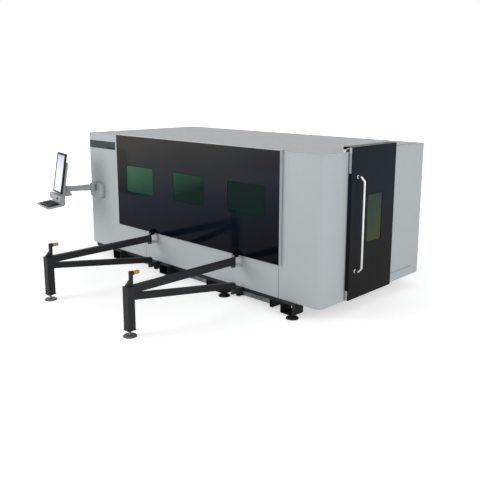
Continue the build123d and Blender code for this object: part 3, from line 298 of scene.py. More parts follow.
def lit_screen(name, low_z, high_z):
    """A lit, empty screen: lavender at the top fading to white, behind clear gloss."""
    finish, tree, shader, place = begin_finish(name)
    glow = ramp(tree, span(tree, along(tree, place, "Z"), low_z, high_z),
                [(0.0, (0.93, 0.96, 1.0)), (0.5, (0.84, 0.88, 1.0)), (1.0, (0.46, 0.48, 0.74))])
    fill(tree, shader, {
        "Emission Color": glow, "Emission Strength": 0.95, "Base Color": (0.02, 0.02, 0.025, 1),
        "Roughness": ramp(tree, noise(tree, place, 12.0, 4.0), [(0.3, 0.06), (0.8, 0.14)])})
    return finish


def light_tube(name, strength):
    finish, tree, shader, place = begin_finish(name)
    glow = ramp(tree, noise(tree, place, 2.0, 1.0),
                [(0.2, (0.9, 0.95, 1.0)), (0.8, (1.0, 0.99, 0.95))])
    fill(tree, shader, {"Emission Color": glow, "Emission Strength": strength,
                        "Base Color": (0.8, 0.8, 0.8, 1)})
    return finish


def track_finish(name, steel, paint, split_z):
    """The roof track is ground steel; the bottom guide under it is painted like the covers."""
    finish, tree, shader, place = begin_finish(name)
    upper = past(tree, place, "Z", split_z)
    grain = noise(tree, stretched(tree, place, (500.0, 4.0, 500.0)), 1.0, 3.0)
    metal = two_tones(tree, grain, steel, 0.3, 0.7, 0.9, 1.1)
    fill(tree, shader, {"Base Color": pick(tree, upper, paint, metal), "Metallic": upper,
                        "Roughness": 0.36})
    return finish


COVER = (0.455, 0.489, 0.508)
# How a metal's grain lies: along Y or along X, or in no direction.
LAY_Y = (600.0, 5.0, 600.0)
LAY_X = (5.0, 600.0, 600.0)
LAY_NONE = (90.0, 90.0, 90.0)

cover_paint = powder_coat("cover light grey", COVER, 0.42, spread=0.018, sheen=0.3)
black_paint = powder_coat("base black paint", (0.008, 0.009, 0.010), 0.5, spread=0.12,
                          scuffs=(0.022, 0.023, 0.025), sheen=0.3)
arm_paint = powder_coat("arm black paint", (0.013, 0.014, 0.0155), 0.46, spread=0.1,
                        scuffs=(0.028, 0.029, 0.031), sheen=0.3)
frame_paint = powder_coat("inner frame grey", (0.11, 0.12, 0.13), 0.5, spread=0.08)
cabinet_paint = powder_coat("cabinet textured grey", (0.37, 0.395, 0.41), 0.55, spread=0.02,
                            grain=380.0, relief_depth=0.0003)
panel_paint = powder_coat("operator panel grey", (0.41, 0.435, 0.445), 0.4, spread=0.03,
                          sheen=0.3)
# The plate is grey behind its tab's proud front, and the tab's front is black.
plate_paint = powder_coat("name plate grey", (0.005, 0.0055, 0.006), 0.45, spread=0.04,
                          other=(0.052, 0.063, 0.067), zones=(("Y", -0.2768),), sheen=0.15)
# The upper lugs, behind the hinge pins, have the covers' paint. The rest is black.
bracket_paint = powder_coat("hinge bracket paint", (0.018, 0.0195, 0.021), 0.46, spread=0.1,
                            other=COVER, zones=(("Y", -0.388), ("Z", 0.4)))
arm_foot_steel = powder_coat("arm foot dark steel", (0.10, 0.10, 0.10), 0.4, spread=0.1)
# The screen's colour ramp is painted reflection, lighter at the top and to the left.
screen_gloss_painted_reflection = gloss_sheet("screen dark gloss", (0.0018, 0.0036, 0.0066), (0.050, 0.047, 0.045),
                           0.8, 2.3, 0.06, lean=0.17, edge=(1.8612, 2.0425, COVER), sheen=0.09,
                           middle=3.0)
# The door's warm-to-blue colour ramp is painted reflection.
door_gloss_painted_reflection = door_sheet("door dark gloss", (0.0105, 0.0100, 0.0100), (0.010, 0.016, 0.0235),
                        2.5268, 0.319, 1.784, 0.12, 0.07)
hanger_paint = powder_coat("door hanger black", (0.010, 0.012, 0.015), 0.4, spread=0.05,
                           sheen=0.12)
# The windows' pale tops and pale left side are painted reflection.
window_green_painted_reflection = laser_glass("screen window green", (0.0015, 0.014, 0.012), (0.050, 0.140, 0.080),
                           1.25, 2.15, lean=0.35, clear=0.03, sheen=0.05)
door_green_painted_reflection = laser_glass("door window green", (0.052, 0.064, 0.018), (0.026, 0.056, 0.045),
                         0.95, 1.6, lean=0.0, clear=0.15, sheen=0.1)
ground_steel = bare_metal("ground steel", (0.55, 0.56, 0.57), 0.32, LAY_Y)
drawn_steel_x = bare_metal("drawn steel rails", (0.5, 0.51, 0.52), 0.3, LAY_X)
zinc_steel = bare_metal("zinc plated steel", (0.45, 0.46, 0.46), 0.38, LAY_NONE)
slat_steel = bare_metal("slat mild steel", (0.22, 0.21, 0.2), 0.5, (500.0, 8.0, 60.0), spread=0.2)
galvanised = zinc_sheet("galvanised sheet", (0.27, 0.275, 0.28))
roller_steel = bare_metal("roller dark steel", (0.20, 0.205, 0.21), 0.45, LAY_Y)
machined_alu = bare_metal("machined aluminium", (0.62, 0.63, 0.64), 0.33, LAY_X)
brass = bare_metal("turned brass", (0.62, 0.42, 0.16), 0.3, (60.0, 60.0, 500.0))
chrome = bright_chrome("bright chrome")
amber = rubber("amber buffer rubber", (0.66, 0.27, 0.022), 0.38, clear=0.15)
black_rubber = rubber("black rubber", (0.0055, 0.006, 0.0075), 0.7, sheen=0.08)
bezel_plastic = moulded("monitor bezel black", (0.016, 0.018, 0.021), 0.4, sheen=0.15)
key_plastic = moulded("key black", (0.018, 0.021, 0.024), 0.55, sheen=0.2)
keybed_plastic = moulded("keyboard body", (0.014, 0.017, 0.02), 0.5, sheen=0.2)
knob_plastic = moulded("knob dark grey", (0.035, 0.038, 0.042), 0.4)
stop_plastic = moulded("stop button red", (0.55, 0.02, 0.015), 0.3)
yellow_plastic = moulded("stop collar yellow", (0.75, 0.5, 0.02), 0.4)
door_track_finish = track_finish("door track and guide", (0.5, 0.51, 0.52), shade(COVER, 0.8),
                                 1.0)
screen_glow = lit_screen("lit monitor glass", 1.15, 1.70)
strip_glow = light_tube("work light tube", 6.0)
# Painted shade: the monitor case's louvre hoods are near-black, standing in for the shaded vent
# gaps.
vent_gap_shade = moulded("vent gap painted shade", (0.008, 0.008, 0.009), 0.8)

FINISHES = {
    cover_paint: ("left_column_cover", "front_skirt_cover", "right_column_cover",
                  "right_side_cover", "rear_cover", "left_side_cover", "roof_cover"),
    black_paint: ("base_frame", "levelling_feet", "scrap_runners"),
    arm_paint: ("left_arm_frame", "right_arm_frame"),
    bracket_paint: ("arm_hinge_brackets",),
    arm_foot_steel: ("left_arm_foot", "right_arm_foot"),
    frame_paint: ("enclosure_frame", "bed_side_frames", "table_frame", "gantry_beam"),
    cabinet_paint: ("electrical_cabinet", "cabinet_door", "laser_source"),
    panel_paint: ("panel_wall_bracket", "panel_arm", "panel_console", "keyboard_tray",
                  "monitor_rear_case"),
    plate_paint: ("name_plate",),
    screen_gloss_painted_reflection: ("screen_panel",),
    door_gloss_painted_reflection: ("side_door_panel",),
    hanger_paint: ("side_door_hanger",),
    window_green_painted_reflection: ("screen_windows",),
    door_green_painted_reflection: ("side_door_window",),
    ground_steel: ("bed_rails",),
    roller_steel: ("support_rollers",),
    drawn_steel_x: ("gantry_rails", "front_door_roller", "rear_door_roller"),
    door_track_finish: ("door_tracks",),
    slat_steel: ("support_slats",),
    galvanised: ("left_scrap_drawer", "middle_scrap_drawer", "right_scrap_drawer",
                 "extraction_plenum", "exhaust_spigot"),
    machined_alu: ("carriage", "height_slide", "cutting_head"),
    brass: ("cutting_nozzle", "gas_inlet"),
    chrome: ("side_door_handle",),
    amber: ("left_arm_buffer", "right_arm_buffer"),
    black_rubber: ("door_seal",),
    bezel_plastic: ("monitor",),
    keybed_plastic: ("keyboard",),
    knob_plastic: ("selector_knob",),
    stop_plastic: ("stop_button",),
}
for finish, names in FINISHES.items():
    for name in names:
        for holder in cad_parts[name].material_slots:
            holder.material = finish


# ---------------------------------------------------------------- mesh helpers
CREASE = 0.6      # radians past which an edge stays sharp


def new_piece(name, mesh, body, finishes=()):
    piece = bpy.data.objects.new(name, mesh)
    bpy.context.scene.collection.objects.link(piece)
    for finish in finishes:
        mesh.materials.append(finish)
    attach(piece, body)


def from_bmesh(bm, name, body, finish, crease=CREASE):
    bmesh.ops.recalc_face_normals(bm, faces=bm.faces)
    mesh = bpy.data.meshes.new(name)
    bm.to_mesh(mesh)
    bm.free()
    mesh.shade_smooth()
    mesh.set_sharp_from_angle(angle=crease)
    new_piece(name, mesh, body, (finish,))


def soft_box(bm, low, high, edge, segments=2, turn=None):
    """Adds a box with rounded edges between two corners given in millimetres."""
    corner_a = at(*low)
    corner_b = at(*high)
    size = corner_b - corner_a
    place = Matrix.Translation((corner_a + corner_b) / 2) @ Matrix.Diagonal((*size, 1))
    cube = bmesh.ops.create_cube(bm, size=1.0, matrix=place)["verts"]
    edges = dict.fromkeys(e for v in cube for e in v.link_edges)    # each once, in fixed order
    rounded = bmesh.ops.bevel(bm, geom=list(edges), offset=edge / 1000, segments=segments,
                              profile=0.5, affect="EDGES")["verts"]
    if turn is not None:
        bmesh.ops.transform(bm, matrix=turn, verts=rounded)


def join_rings(bm, lower, upper):
    """Quads between two rings with the same number of corners."""
    count = len(lower)
    for i in range(count):
        k = (i + 1) % count
        bm.faces.new((lower[i], lower[k], upper[k], upper[i]))


def around(side, other, sides):
    """Evenly spaced directions round a circle that starts at side and turns to other."""
    angles = [2 * math.pi * i / sides for i in range(sides)]
    return [side * math.cos(angle) + other * math.sin(angle) for angle in angles]


def rounded_outline(x0, x1, z0, z1, radius, steps=8):
    points = []
    for cx, cz, start in ((x1 - radius, z1 - radius, 0), (x0 + radius, z1 - radius, 90),
                          (x0 + radius, z0 + radius, 180), (x1 - radius, z0 + radius, 270)):
        for i in range(steps + 1):
            angle = math.radians(start + 90 * i / steps)
            points.append((cx + radius * math.cos(angle), cz + radius * math.sin(angle)))
    return points


def gasket_ring(bm, opening, radius, width, depth, to_place):
    """A raised ring with a softened rim round a window's (left, right, low, high)."""
    left, right, low, high = opening
    inner = rounded_outline(left, right, low, high, radius)
    outer = rounded_outline(left - width, right + width, low - width, high + width,
                            radius + width)
    crest = [((a[0] + b[0]) / 2, (a[1] + b[1]) / 2) for a, b in zip(outer, inner)]
    shoulder = depth * 0.6
    rows = [[bm.verts.new(to_place(a, b, height)) for a, b in outline]
            for outline, height in ((outer, 0.0), (outer, shoulder), (crest, depth),
                                    (inner, shoulder), (inner, 0.0))]
    for j, row in enumerate(rows):
        join_rings(bm, row, rows[(j + 1) % len(rows)])


def turned(bm, centre, direction, profile, sides=32):
    """A closed profile of (radius, height) pairs in millimetres, turned round an axis."""
    axis = Vector(direction).normalized()
    side = axis.orthogonal().normalized()
    spokes = around(side, axis.cross(side), sides)
    rings = [[bm.verts.new(centre + spoke * radius / 1000 + axis * height / 1000)
              for spoke in spokes] for radius, height in profile]
    for j, ring in enumerate(rings):
        join_rings(bm, ring, rings[(j + 1) % len(rings)])


def weld_bead(bm, start, end, radius, sides=6):
    """A rippled weld bead along a straight line between two points given in millimetres."""
    ripple = 7      # millimetres from one ring to the next
    first = at(*start)
    run = at(*end) - first
    steps = max(4, int(run.length * 1000 / ripple))
    side = run.orthogonal().normalized()
    spokes = around(side, run.normalized().cross(side), sides)
    rings = []
    for j in range(steps + 1):
        swell = 0.82 + 0.18 * math.sin(2.4 * j)
        if j in (0, steps):
            swell = 0.25
        middle = first + run * (j / steps)
        rings.append([bm.verts.new(middle + spoke * radius * swell / 1000)
                      for spoke in spokes])
    for lower, upper in zip(rings, rings[1:]):
        join_rings(bm, lower, upper)
    bm.faces.new(rings[0])
    bm.faces.new(list(reversed(rings[-1])))


# ---------------------------------------------------------------- geometry node tools
HALF_DIAGONAL = 0.7071      # of a square with sides of one


def start_tree(name, sizes):
    """A geometry tree with named inputs; returns the tree, those inputs and its output node."""
    tree = bpy.data.node_groups.new(name, "GeometryNodeTree")
    tree.interface.new_socket("Geometry", in_out="INPUT", socket_type="NodeSocketGeometry")
    for label, kind, value in sizes:
        socket = tree.interface.new_socket(label, in_out="INPUT", socket_type="NodeSocket" + kind)
        socket.default_value = value
    tree.interface.new_socket("Geometry", in_out="OUTPUT", socket_type="NodeSocketGeometry")
    return tree, tree.nodes.new("NodeGroupInput").outputs, tree.nodes.new("NodeGroupOutput")


def end_tree(tree, geometry, output, finish):
    real = result(tree, "GeometryNodeRealizeInstances", {"Geometry": geometry})
    painted = result(tree, "GeometryNodeSetMaterial", {"Geometry": real, "Material": finish})
    tree.links.new(painted, output.inputs[0])


def grown(name, tree, places, sizes, body):
    """Runs a tree on places in millimetres and keeps the result as a plain mesh."""
    start_mesh = bpy.data.meshes.new("places")
    start_mesh.from_pydata([at(*place) for place in places], [], [])
    seed = bpy.data.objects.new(name + "_start", start_mesh)
    bpy.context.scene.collection.objects.link(seed)
    modifier = seed.modifiers.new("grow", "NODES")
    modifier.node_group = tree
    for item in tree.interface.items_tree:
        if item.item_type == "SOCKET" and item.in_out == "INPUT" and item.name in sizes:
            modifier[item.identifier] = sizes[item.name]
    bpy.context.view_layer.update()
    ready = seed.evaluated_get(bpy.context.evaluated_depsgraph_get())
    mesh = bpy.data.meshes.new_from_object(ready)
    mesh.name = name
    bpy.data.objects.remove(seed)
    mesh.shade_smooth()
    mesh.set_sharp_from_angle(angle=CREASE)
    new_piece(name, mesh, body)


def raised(tree, geometry, height):
    """Moves a geometry up by a height."""
    lift = result(tree, "ShaderNodeCombineXYZ", {"Z": height})
    return result(tree, "GeometryNodeTransform", {"Geometry": geometry, "Translation": lift})


def joined(tree, *parts):
    join = add(tree, "GeometryNodeJoinGeometry")
    for part in parts:
        tree.links.new(part, join.inputs[0])
    return join.outputs[0]


def repeated(tree, points, instance, **inputs):
    return result(tree, "GeometryNodeInstanceOnPoints",
                  {"Points": points, "Instance": instance, **inputs})


def point_grid(tree, given, column_pitch, row_pitch):
    """A grid with the tree's own Columns and Rows at the named pitches."""
    spans = []
    for count, pitch in (("Columns", column_pitch), ("Rows", row_pitch)):
        gaps = calc(tree, "ADD", given[count], -1.0)
        spans.append(calc(tree, "MULTIPLY", gaps, given[pitch]))
    return result(tree, "GeometryNodeMeshGrid", {"Size X": spans[0], "Size Y": spans[1],
                                                 "Vertices X": given["Columns"],
                                                 "Vertices Y": given["Rows"]})


def square_to_axes(tree, cone):
    """Turns a four-sided cone so that its sides lie along X and Y."""
    return result(tree, "GeometryNodeTransform",
                  {"Geometry": cone, "Rotation": (0, 0, math.pi / 4)})


def laid_out(tree, given, geometry):
    """Turns a field of pieces and moves it to the tree's own Centre."""
    turn = result(tree, "FunctionNodeEulerToRotation", {0: given["Turn"]})
    return result(tree, "GeometryNodeTransform",
                  {"Geometry": geometry, "Translation": given["Centre"], "Rotation": turn})


def fixing_tree(name, finish):
    """A hexagon head on a washer at each point, standing along the given direction."""
    tree, given, output = start_tree(name, [
        ("Head radius", "Float", 0.006), ("Head height", "Float", 0.004),
        ("Washer radius", "Float", 0.008), ("Washer height", "Float", 0.0012),
        ("Sides", "Int", 6), ("Direction", "Vector", (0.0, 0.0, 1.0))])
    washer_height = given["Washer height"]
    head_height = given["Head height"]
    washer = result(tree, "GeometryNodeMeshCylinder", {
        "Vertices": 20, "Radius": given["Washer radius"], "Depth": washer_height})
    head = result(tree, "GeometryNodeMeshCylinder", {
        "Vertices": given["Sides"], "Radius": given["Head radius"], "Depth": head_height})
    both = joined(tree, raised(tree, washer, calc(tree, "MULTIPLY", washer_height, 0.5)),
                  raised(tree, head,
                         calc(tree, "MULTIPLY_ADD", head_height, 0.5, washer_height)))
    turn = result(tree, "FunctionNodeAlignRotationToVector", {"Vector": given["Direction"]},
                  axis="Z")
    end_tree(tree, repeated(tree, given["Geometry"], both, Rotation=turn), output, finish)
    return tree


def thread_tree(name, finish):
    """Thread rings on a stem: a sharp-crested ring at every pitch above each point."""
    tree, given, output = start_tree(name, [
        ("Radius", "Float", 0.012), ("Pitch", "Float", 0.003), ("Count", "Int", 10),
        ("Depth", "Float", 0.0012)])
    step = result(tree, "ShaderNodeCombineXYZ", {"Z": given["Pitch"]})
    column = result(tree, "GeometryNodeMeshLine", {"Count": given["Count"], "Offset": step})
    crest = given["Radius"]
    root = calc(tree, "SUBTRACT", crest, given["Depth"])
    half_pitch = calc(tree, "MULTIPLY", given["Pitch"], 0.5)
    widening, narrowing = (
        result(tree, "GeometryNodeMeshCone", {"Vertices": 24, "Radius Bottom": bottom,
                                              "Radius Top": top, "Depth": half_pitch})
        for bottom, top in ((root, crest), (crest, root)))
    ring = joined(tree, widening, raised(tree, narrowing, half_pitch))
    stems = repeated(tree, given["Geometry"], repeated(tree, column, ring))
    end_tree(tree, stems, output, finish)
    return tree


def louvre_tree(name, finish):
    """Pressed louvres in rows and columns: a sloping hood at every grid point, out along Z."""
    tree, given, output = start_tree(name, [
        ("Columns", "Int", 2), ("Rows", "Int", 10), ("Column pitch", "Float", 0.2),
        ("Row pitch", "Float", 0.02), ("Width", "Float", 0.16), ("Hood", "Float", 0.012),
        ("Rise", "Float", 0.006), ("Centre", "Vector", (0.0, 0.0, 0.0)),
        ("Turn", "Vector", (0.0, 0.0, 0.0))])
    grid = point_grid(tree, given, "Column pitch", "Row pitch")
    blank = result(tree, "GeometryNodeMeshCone", {
        "Vertices": 4, "Radius Bottom": HALF_DIAGONAL, "Radius Top": 0.5, "Depth": 1.0})
    size = result(tree, "ShaderNodeCombineXYZ",
                  {"X": given["Width"], "Y": given["Hood"], "Z": given["Rise"]})
    hood = result(tree, "GeometryNodeTransform", {
        "Geometry": square_to_axes(tree, blank), "Scale": size,
        "Rotation": (math.radians(14), 0, 0)})
    end_tree(tree, laid_out(tree, given, repeated(tree, grid, hood)), output, finish)
    return tree


def key_tree(name, finish):
    """Keys in rows and columns: a tapered cap at every grid point, laid on the slope."""
    tree, given, output = start_tree(name, [
        ("Columns", "Int", 21), ("Rows", "Int", 6), ("Pitch", "Float", 0.019),
        ("Cap", "Float", 0.0165), ("Height", "Float", 0.004),
        ("Centre", "Vector", (0.0, 0.0, 0.0)), ("Turn", "Vector", (0.0, 0.0, 0.0))])
    grid = point_grid(tree, given, "Pitch", "Pitch")
    foot_radius = calc(tree, "MULTIPLY", given["Cap"], HALF_DIAGONAL)
    top_radius = calc(tree, "MULTIPLY", foot_radius, 0.82)
    cap = result(tree, "GeometryNodeMeshCone", {
        "Vertices": 4, "Radius Bottom": foot_radius, "Radius Top": top_radius,
        "Depth": given["Height"]})
    keys = repeated(tree, grid, square_to_axes(tree, cap))
    end_tree(tree, laid_out(tree, given, keys), output, finish)
    return tree


# The trees that lay out a field of their own start from one point, which they don't use.
START = ((0, 0, 0),)
HALF_TURN = math.radians(180)
QUARTER_TURN = math.radians(90)
UP = (0.0, 0.0, 1.0)
TO_FRONT = (0.0, -1.0, 0.0)
TO_REAR = (0.0, 1.0, 0.0)

# ---------------------------------------------------------------- seals in the cover joints, and painted shade of the joints
# The black strips are rubber seals, and they also paint the shade of the joint gaps.
seals_and_shade = bmesh.new()
for x, foot, top in ((1470, 182, 676), (4210, 182, 2012)):
    soft_box(seals_and_shade, (x - 2.7, 0.9, foot), (x + 2.7, 2.7, top), 0.4, 1)
from_bmesh(seals_and_shade, "cover_joint_seals", "machine", black_rubber)

# ---------------------------------------------------------------- windows' gaskets
SCREEN_FACE_Y = -50
DOOR_FACE_X = 4930

gasket = bmesh.new()
for x in WINDOW_X:
    gasket_ring(gasket, (x - 325, x + 325, 1190, 1590), 30, 5, 1.2,
                lambda a, b, h: at(a, SCREEN_FACE_Y - h, b))
from_bmesh(gasket, "screen_window_gaskets", "worktable_drawer", black_rubber)

gasket = bmesh.new()
gasket_ring(gasket, (833, 1160, 880, 1485), 30, 11, 2.2,
            lambda a, b, h: at(DOOR_FACE_X + h, a, b))
from_bmesh(gasket, "door_window_gasket", "side_door", black_rubber)

# ---------------------------------------------------------------- operator's panel
# The panel's own frame, in metres: turned about its swivel, as the console is. The tray
# slopes in it, and the monitor leans back in it.
PANEL_SWIVEL = (109, -527)
PANEL = (Matrix.Translation(at(*PANEL_SWIVEL, 0))
         @ Matrix.Rotation(math.radians(-11.5), 4, "Z"))
TRAY = (PANEL @ Matrix.Translation((0, -0.158, 0.940))
        @ Matrix.Rotation(math.radians(7.0), 4, "X"))
MONITOR = (PANEL @ Matrix.Translation((0, -0.124, 1.108))
           @ Matrix.Rotation(math.radians(-9.8), 4, "X"))

grown("keyboard_keys", key_tree("keyboard keys", key_plastic), START,
      {"Columns": 21, "Rows": 6, "Pitch": 0.0192, "Cap": 0.0166, "Height": 0.005,
       "Centre": tuple(TRAY @ Vector((0, -0.1165, 0.0345))), "Turn": tuple(TRAY.to_euler())},
      "panel_head")

GLASS_FRONT_Y = -0.0418
GLASS_REAR_Y = -0.0412
glass = bmesh.new()
outline = rounded_outline(-0.150, 0.162, 0.030, 0.606, 0.004, 4)
front, back = ([glass.verts.new(MONITOR @ Vector((a, y, b))) for a, b in outline]
               for y in (GLASS_FRONT_Y, GLASS_REAR_Y))
glass.faces.new(front)
glass.faces.new(list(reversed(back)))
join_rings(glass, back, front)
from_bmesh(glass, "monitor_glass", "monitor_unit", screen_glow)


def on_tray(x, y, z):
    """Millimetres in the tray's own frame, for a box that TRAY then takes to its place."""
    return MIDDLE_X + x, MIDDLE_Y + y, z


pad = bmesh.new()
soft_box(pad, on_tray(-60, -219, 31), on_tray(60, -183, 33.2), 1.0, turn=TRAY)
for left in (-92, 64):
    soft_box(pad, on_tray(left, -216, 31), on_tray(left + 28, -186, 34), 1.2, turn=TRAY)
from_bmesh(pad, "keyboard_pointer_pad", "panel_head", key_plastic)

# The louvres get the near-black finish as painted shade of the vent gaps.
vents = louvre_tree("case vents", vent_gap_shade)
case_turn = (MONITOR @ Matrix.Rotation(math.radians(-90), 4, "X")).to_euler()
for name, height in (("upper", 0.445), ("lower", 0.09)):
    grown("monitor_case_vents_" + name, vents, START,
          {"Columns": 2, "Rows": 7, "Column pitch": 0.13, "Row pitch": 0.009, "Width": 0.1,
           "Hood": 0.004, "Rise": 0.0016, "Centre": tuple(MONITOR @ Vector((0, 0.0322, height))),
           "Turn": tuple(case_turn)}, "monitor_unit")

collar = bmesh.new()
turned(collar, PANEL @ Vector((-0.270, -0.162, 1.045)), PANEL.to_3x3() @ Vector((-1, 0, 0)),
       [(10, 0), (27, 0), (27, 2.2), (25.5, 3.4), (11.5, 3.4), (10, 2.2)])
from_bmesh(collar, "stop_button_collar", "panel_head", yellow_plastic)

collar = bmesh.new()
turned(collar, PANEL @ Vector((0.147, -0.202, 1.050)), PANEL.to_3x3() @ Vector(TO_FRONT),
       [(17, 0), (21, 0), (21, 0.6), (20, 1.2), (17.5, 1.2), (17, 0.6)])
from_bmesh(collar, "selector_collar", "panel_head", knob_plastic)

# ---------------------------------------------------------------- arms: welds, buffer flanges
BEAM_HALF = 30
BEAM_TOP = 592
BEAM_LOW_AT_POST = 427
BEAM_LOW_AT_HINGE = 506
HINGE_BLOCK_Y = -166
POST_HALF = 48
POST_FRONT_Y = -1825
POST_REAR_Y = -1729
POST_FOOT_Z = 86
UPRIGHT_HALF = 18
UPRIGHT_FOOT_Z = 595
BEAD_CREASE = 1.2

for side, x in zip(("left", "right"), HINGE_X):
    beads = bmesh.new()
    for dx in (-BEAM_HALF, BEAM_HALF):
        weld_bead(beads, (x + dx, POST_REAR_Y, BEAM_LOW_AT_POST),
                  (x + dx, POST_REAR_Y, BEAM_TOP), 3.6)
        weld_bead(beads, (x + dx, HINGE_BLOCK_Y, BEAM_LOW_AT_HINGE),
                  (x + dx, HINGE_BLOCK_Y, BEAM_TOP), 1.6)
    weld_bead(beads, (x - BEAM_HALF, POST_REAR_Y, BEAM_LOW_AT_POST),
              (x + BEAM_HALF, POST_REAR_Y, BEAM_LOW_AT_POST), 3.6)
    for dx in (-POST_HALF, POST_HALF):
        weld_bead(beads, (x + dx, POST_FRONT_Y, POST_FOOT_Z), (x + dx, POST_REAR_Y, POST_FOOT_Z),
                  3.2)
    for y in (POST_FRONT_Y, POST_REAR_Y):
        weld_bead(beads, (x - POST_HALF, y, POST_FOOT_Z), (x + POST_HALF, y, POST_FOOT_Z), 3.2)
    for dx in (-UPRIGHT_HALF, UPRIGHT_HALF):
        weld_bead(beads, (x + dx, -1822, UPRIGHT_FOOT_Z), (x + dx, -1724, UPRIGHT_FOOT_Z), 2.6)
    weld_bead(beads, (x - UPRIGHT_HALF, -1723, 594.5), (x + UPRIGHT_HALF, -1723, 594.5), 2.4)
    from_bmesh(beads, side + "_arm_welds", side + "_arm", arm_paint, BEAD_CREASE)
    flange = bmesh.new()
    turned(flange, at(x, -1722, 737), TO_REAR,
           [(23.4, 0), (28, 0), (28, 5), (26.5, 7), (24.2, 7), (23.4, 6)])
    from_bmesh(flange, side + "_buffer_flange", side + "_arm", arm_paint)

BOX_WIDTH = 200
seams = bmesh.new()
for x in BOX_X:
    for edge in (x, x + BOX_WIDTH):
        for y in (20, 2253):
            weld_bead(seams, (edge, y, 121), (edge, y, 178), 3.4)
    weld_bead(seams, (x + 4, 126, 38.5), (x + BOX_WIDTH - 4, 126, 38.5), 3.0)
from_bmesh(seams, "base_welds", "machine", black_paint, BEAD_CREASE)

# ---------------------------------------------------------------- cabinet door
louvres = louvre_tree("pressed louvres", cabinet_paint)
for name, height in (("low", 470), ("high", 1680)):
    grown("cabinet_louvres_" + name, louvres, START,
          {"Columns": 3, "Rows": 9, "Column pitch": 0.22, "Row pitch": 0.024, "Width": 0.18,
           "Hood": 0.014, "Rise": 0.012, "Centre": tuple(at(-22.5, 800, height)),
           "Turn": (QUARTER_TURN, 0, -QUARTER_TURN)}, "cabinet_leaf")

latch = bmesh.new()
soft_box(latch, (-26, 412, 980), (-21.5, 452, 1180), 3.0, 3)
soft_box(latch, (-38, 422, 1000), (-25, 442, 1130), 5.0, 3)
turned(latch, at(-26, 432, 1155), (-1, 0, 0), [(1, 0), (13, 0), (13, 7), (11, 9), (1, 9)])
from_bmesh(latch, "cabinet_latch", "cabinet_leaf", knob_plastic)

# ---------------------------------------------------------------- rear cover and spigot
REAR_FACE_Y = 2272.6
STRIP_X = (1250, 2050, 3050, 3850)
STRIP_Z = (196, 1999)

strips = bmesh.new()
for x in STRIP_X:
    soft_box(strips, (x - 20, REAR_FACE_Y, 200), (x + 20, 2275.6, 1995), 0.8, 1)
for z in STRIP_Z:
    soft_box(strips, (90, REAR_FACE_Y, z - 14), (4845, 2275.2, z + 14), 0.8, 1)
from_bmesh(strips, "rear_cover_strips", "machine", cover_paint)

cover_louvres = louvre_tree("cover louvres", cover_paint)
for name, x in (("left", 600), ("right", 4350)):
    grown("rear_louvres_" + name, cover_louvres, START,
          {"Columns": 3, "Rows": 12, "Column pitch": 0.24, "Row pitch": 0.03, "Width": 0.2,
           "Hood": 0.018, "Rise": 0.014, "Centre": tuple(at(x, 2273.5, 1560)),
           "Turn": (QUARTER_TURN, 0, HALF_TURN)}, "machine")

SPIGOT_X = 2550
SPIGOT_Z = 520
duct = bmesh.new()
turned(duct, at(SPIGOT_X, 2335, SPIGOT_Z), TO_REAR,
       [(100, 0), (103, 1), (104, 4), (103, 7), (100, 8), (99, 4)], 64)
from_bmesh(duct, "spigot_bead", "machine", galvanised)

# ---------------------------------------------------------------- work lights under the roof
lamps = bmesh.new()
tubes = bmesh.new()
for x in (1663.3, 3286.7):
    soft_box(lamps, (x - 34, 330, 1944), (x + 34, 1690, 1968.4), 5.0, 3)
    for dx in (-13, 13):
        turned(tubes, at(x + dx, 350, 1938), TO_REAR,
               [(1, 0), (8, 0), (9, 3), (9, 1317), (8, 1320), (1, 1320)], 16)
from_bmesh(lamps, "work_light_housings", "machine", cabinet_paint)
from_bmesh(tubes, "work_light_tubes", "machine", strip_glow)

# ---------------------------------------------------------------- gantry duct, head fittings
comb = louvre_tree("duct comb", bezel_plastic)
grown("gantry_duct_comb", comb, START,
      {"Columns": 150, "Rows": 2, "Column pitch": 0.021, "Row pitch": 0.046, "Width": 0.013,
       "Hood": 0.0022, "Rise": 0.04, "Centre": tuple(at(2555, 2064, 1480.5))},
      "gantry")
trough = bmesh.new()
soft_box(trough, (960, 2036, 1459.5), (4150, 2092, 1462.5), 0.8, 1)
from_bmesh(trough, "gantry_duct_base", "gantry", bezel_plastic)

rings = bmesh.new()
for z, profile, sides in (
        (1062, [(40, 0), (43.5, 1), (43.5, 9), (40, 10)], 48),
        (1120, [(40, 0), (42.5, 1), (42.5, 13), (40, 14)], 48),
        (1558, [(1, 0), (26, 0), (26, 14), (22, 18), (22, 34), (1, 34)], 40)):
    turned(rings, at(1050, 1733, z), UP, profile, sides)
from_bmesh(rings, "cutting_head_rings", "head_slide", chrome)

# ---------------------------------------------------------------- fixings
hex_tree = fixing_tree("hexagon fixings", zinc_steel)
black_hex_tree = fixing_tree("black hexagon fixings", black_paint)
painted_hex_tree = fixing_tree("painted hexagon fixings", cover_paint)
round_tree = fixing_tree("round screw heads", zinc_steel)


def fixings(name, tree, places, head, washer, direction, body, sides=6):
    """Heads on washers at the given places; each is a (radius, height) pair in metres."""
    grown(name, tree, places,
          {"Head radius": head[0], "Head height": head[1], "Washer radius": washer[0],
           "Washer height": washer[1], "Sides": sides, "Direction": direction}, body)


bracket_bolts = [(x + dx, -10, z) for x in HINGE_X for dx in (-38, 38) for z in (490, 576)]
fixings("hinge_bracket_bolts", painted_hex_tree, bracket_bolts, (0.0065, 0.006),
        (0.0095, 0.0012), TO_FRONT, "machine")

fork_bolts = [(x + dx, -56, z) for x in HINGE_X for dx in (-14, 14) for z in (652, 674)]
fixings("roller_fork_bolts", black_hex_tree, fork_bolts, (0.005, 0.004), (0.0068, 0.0012),
        TO_FRONT, "worktable_drawer")

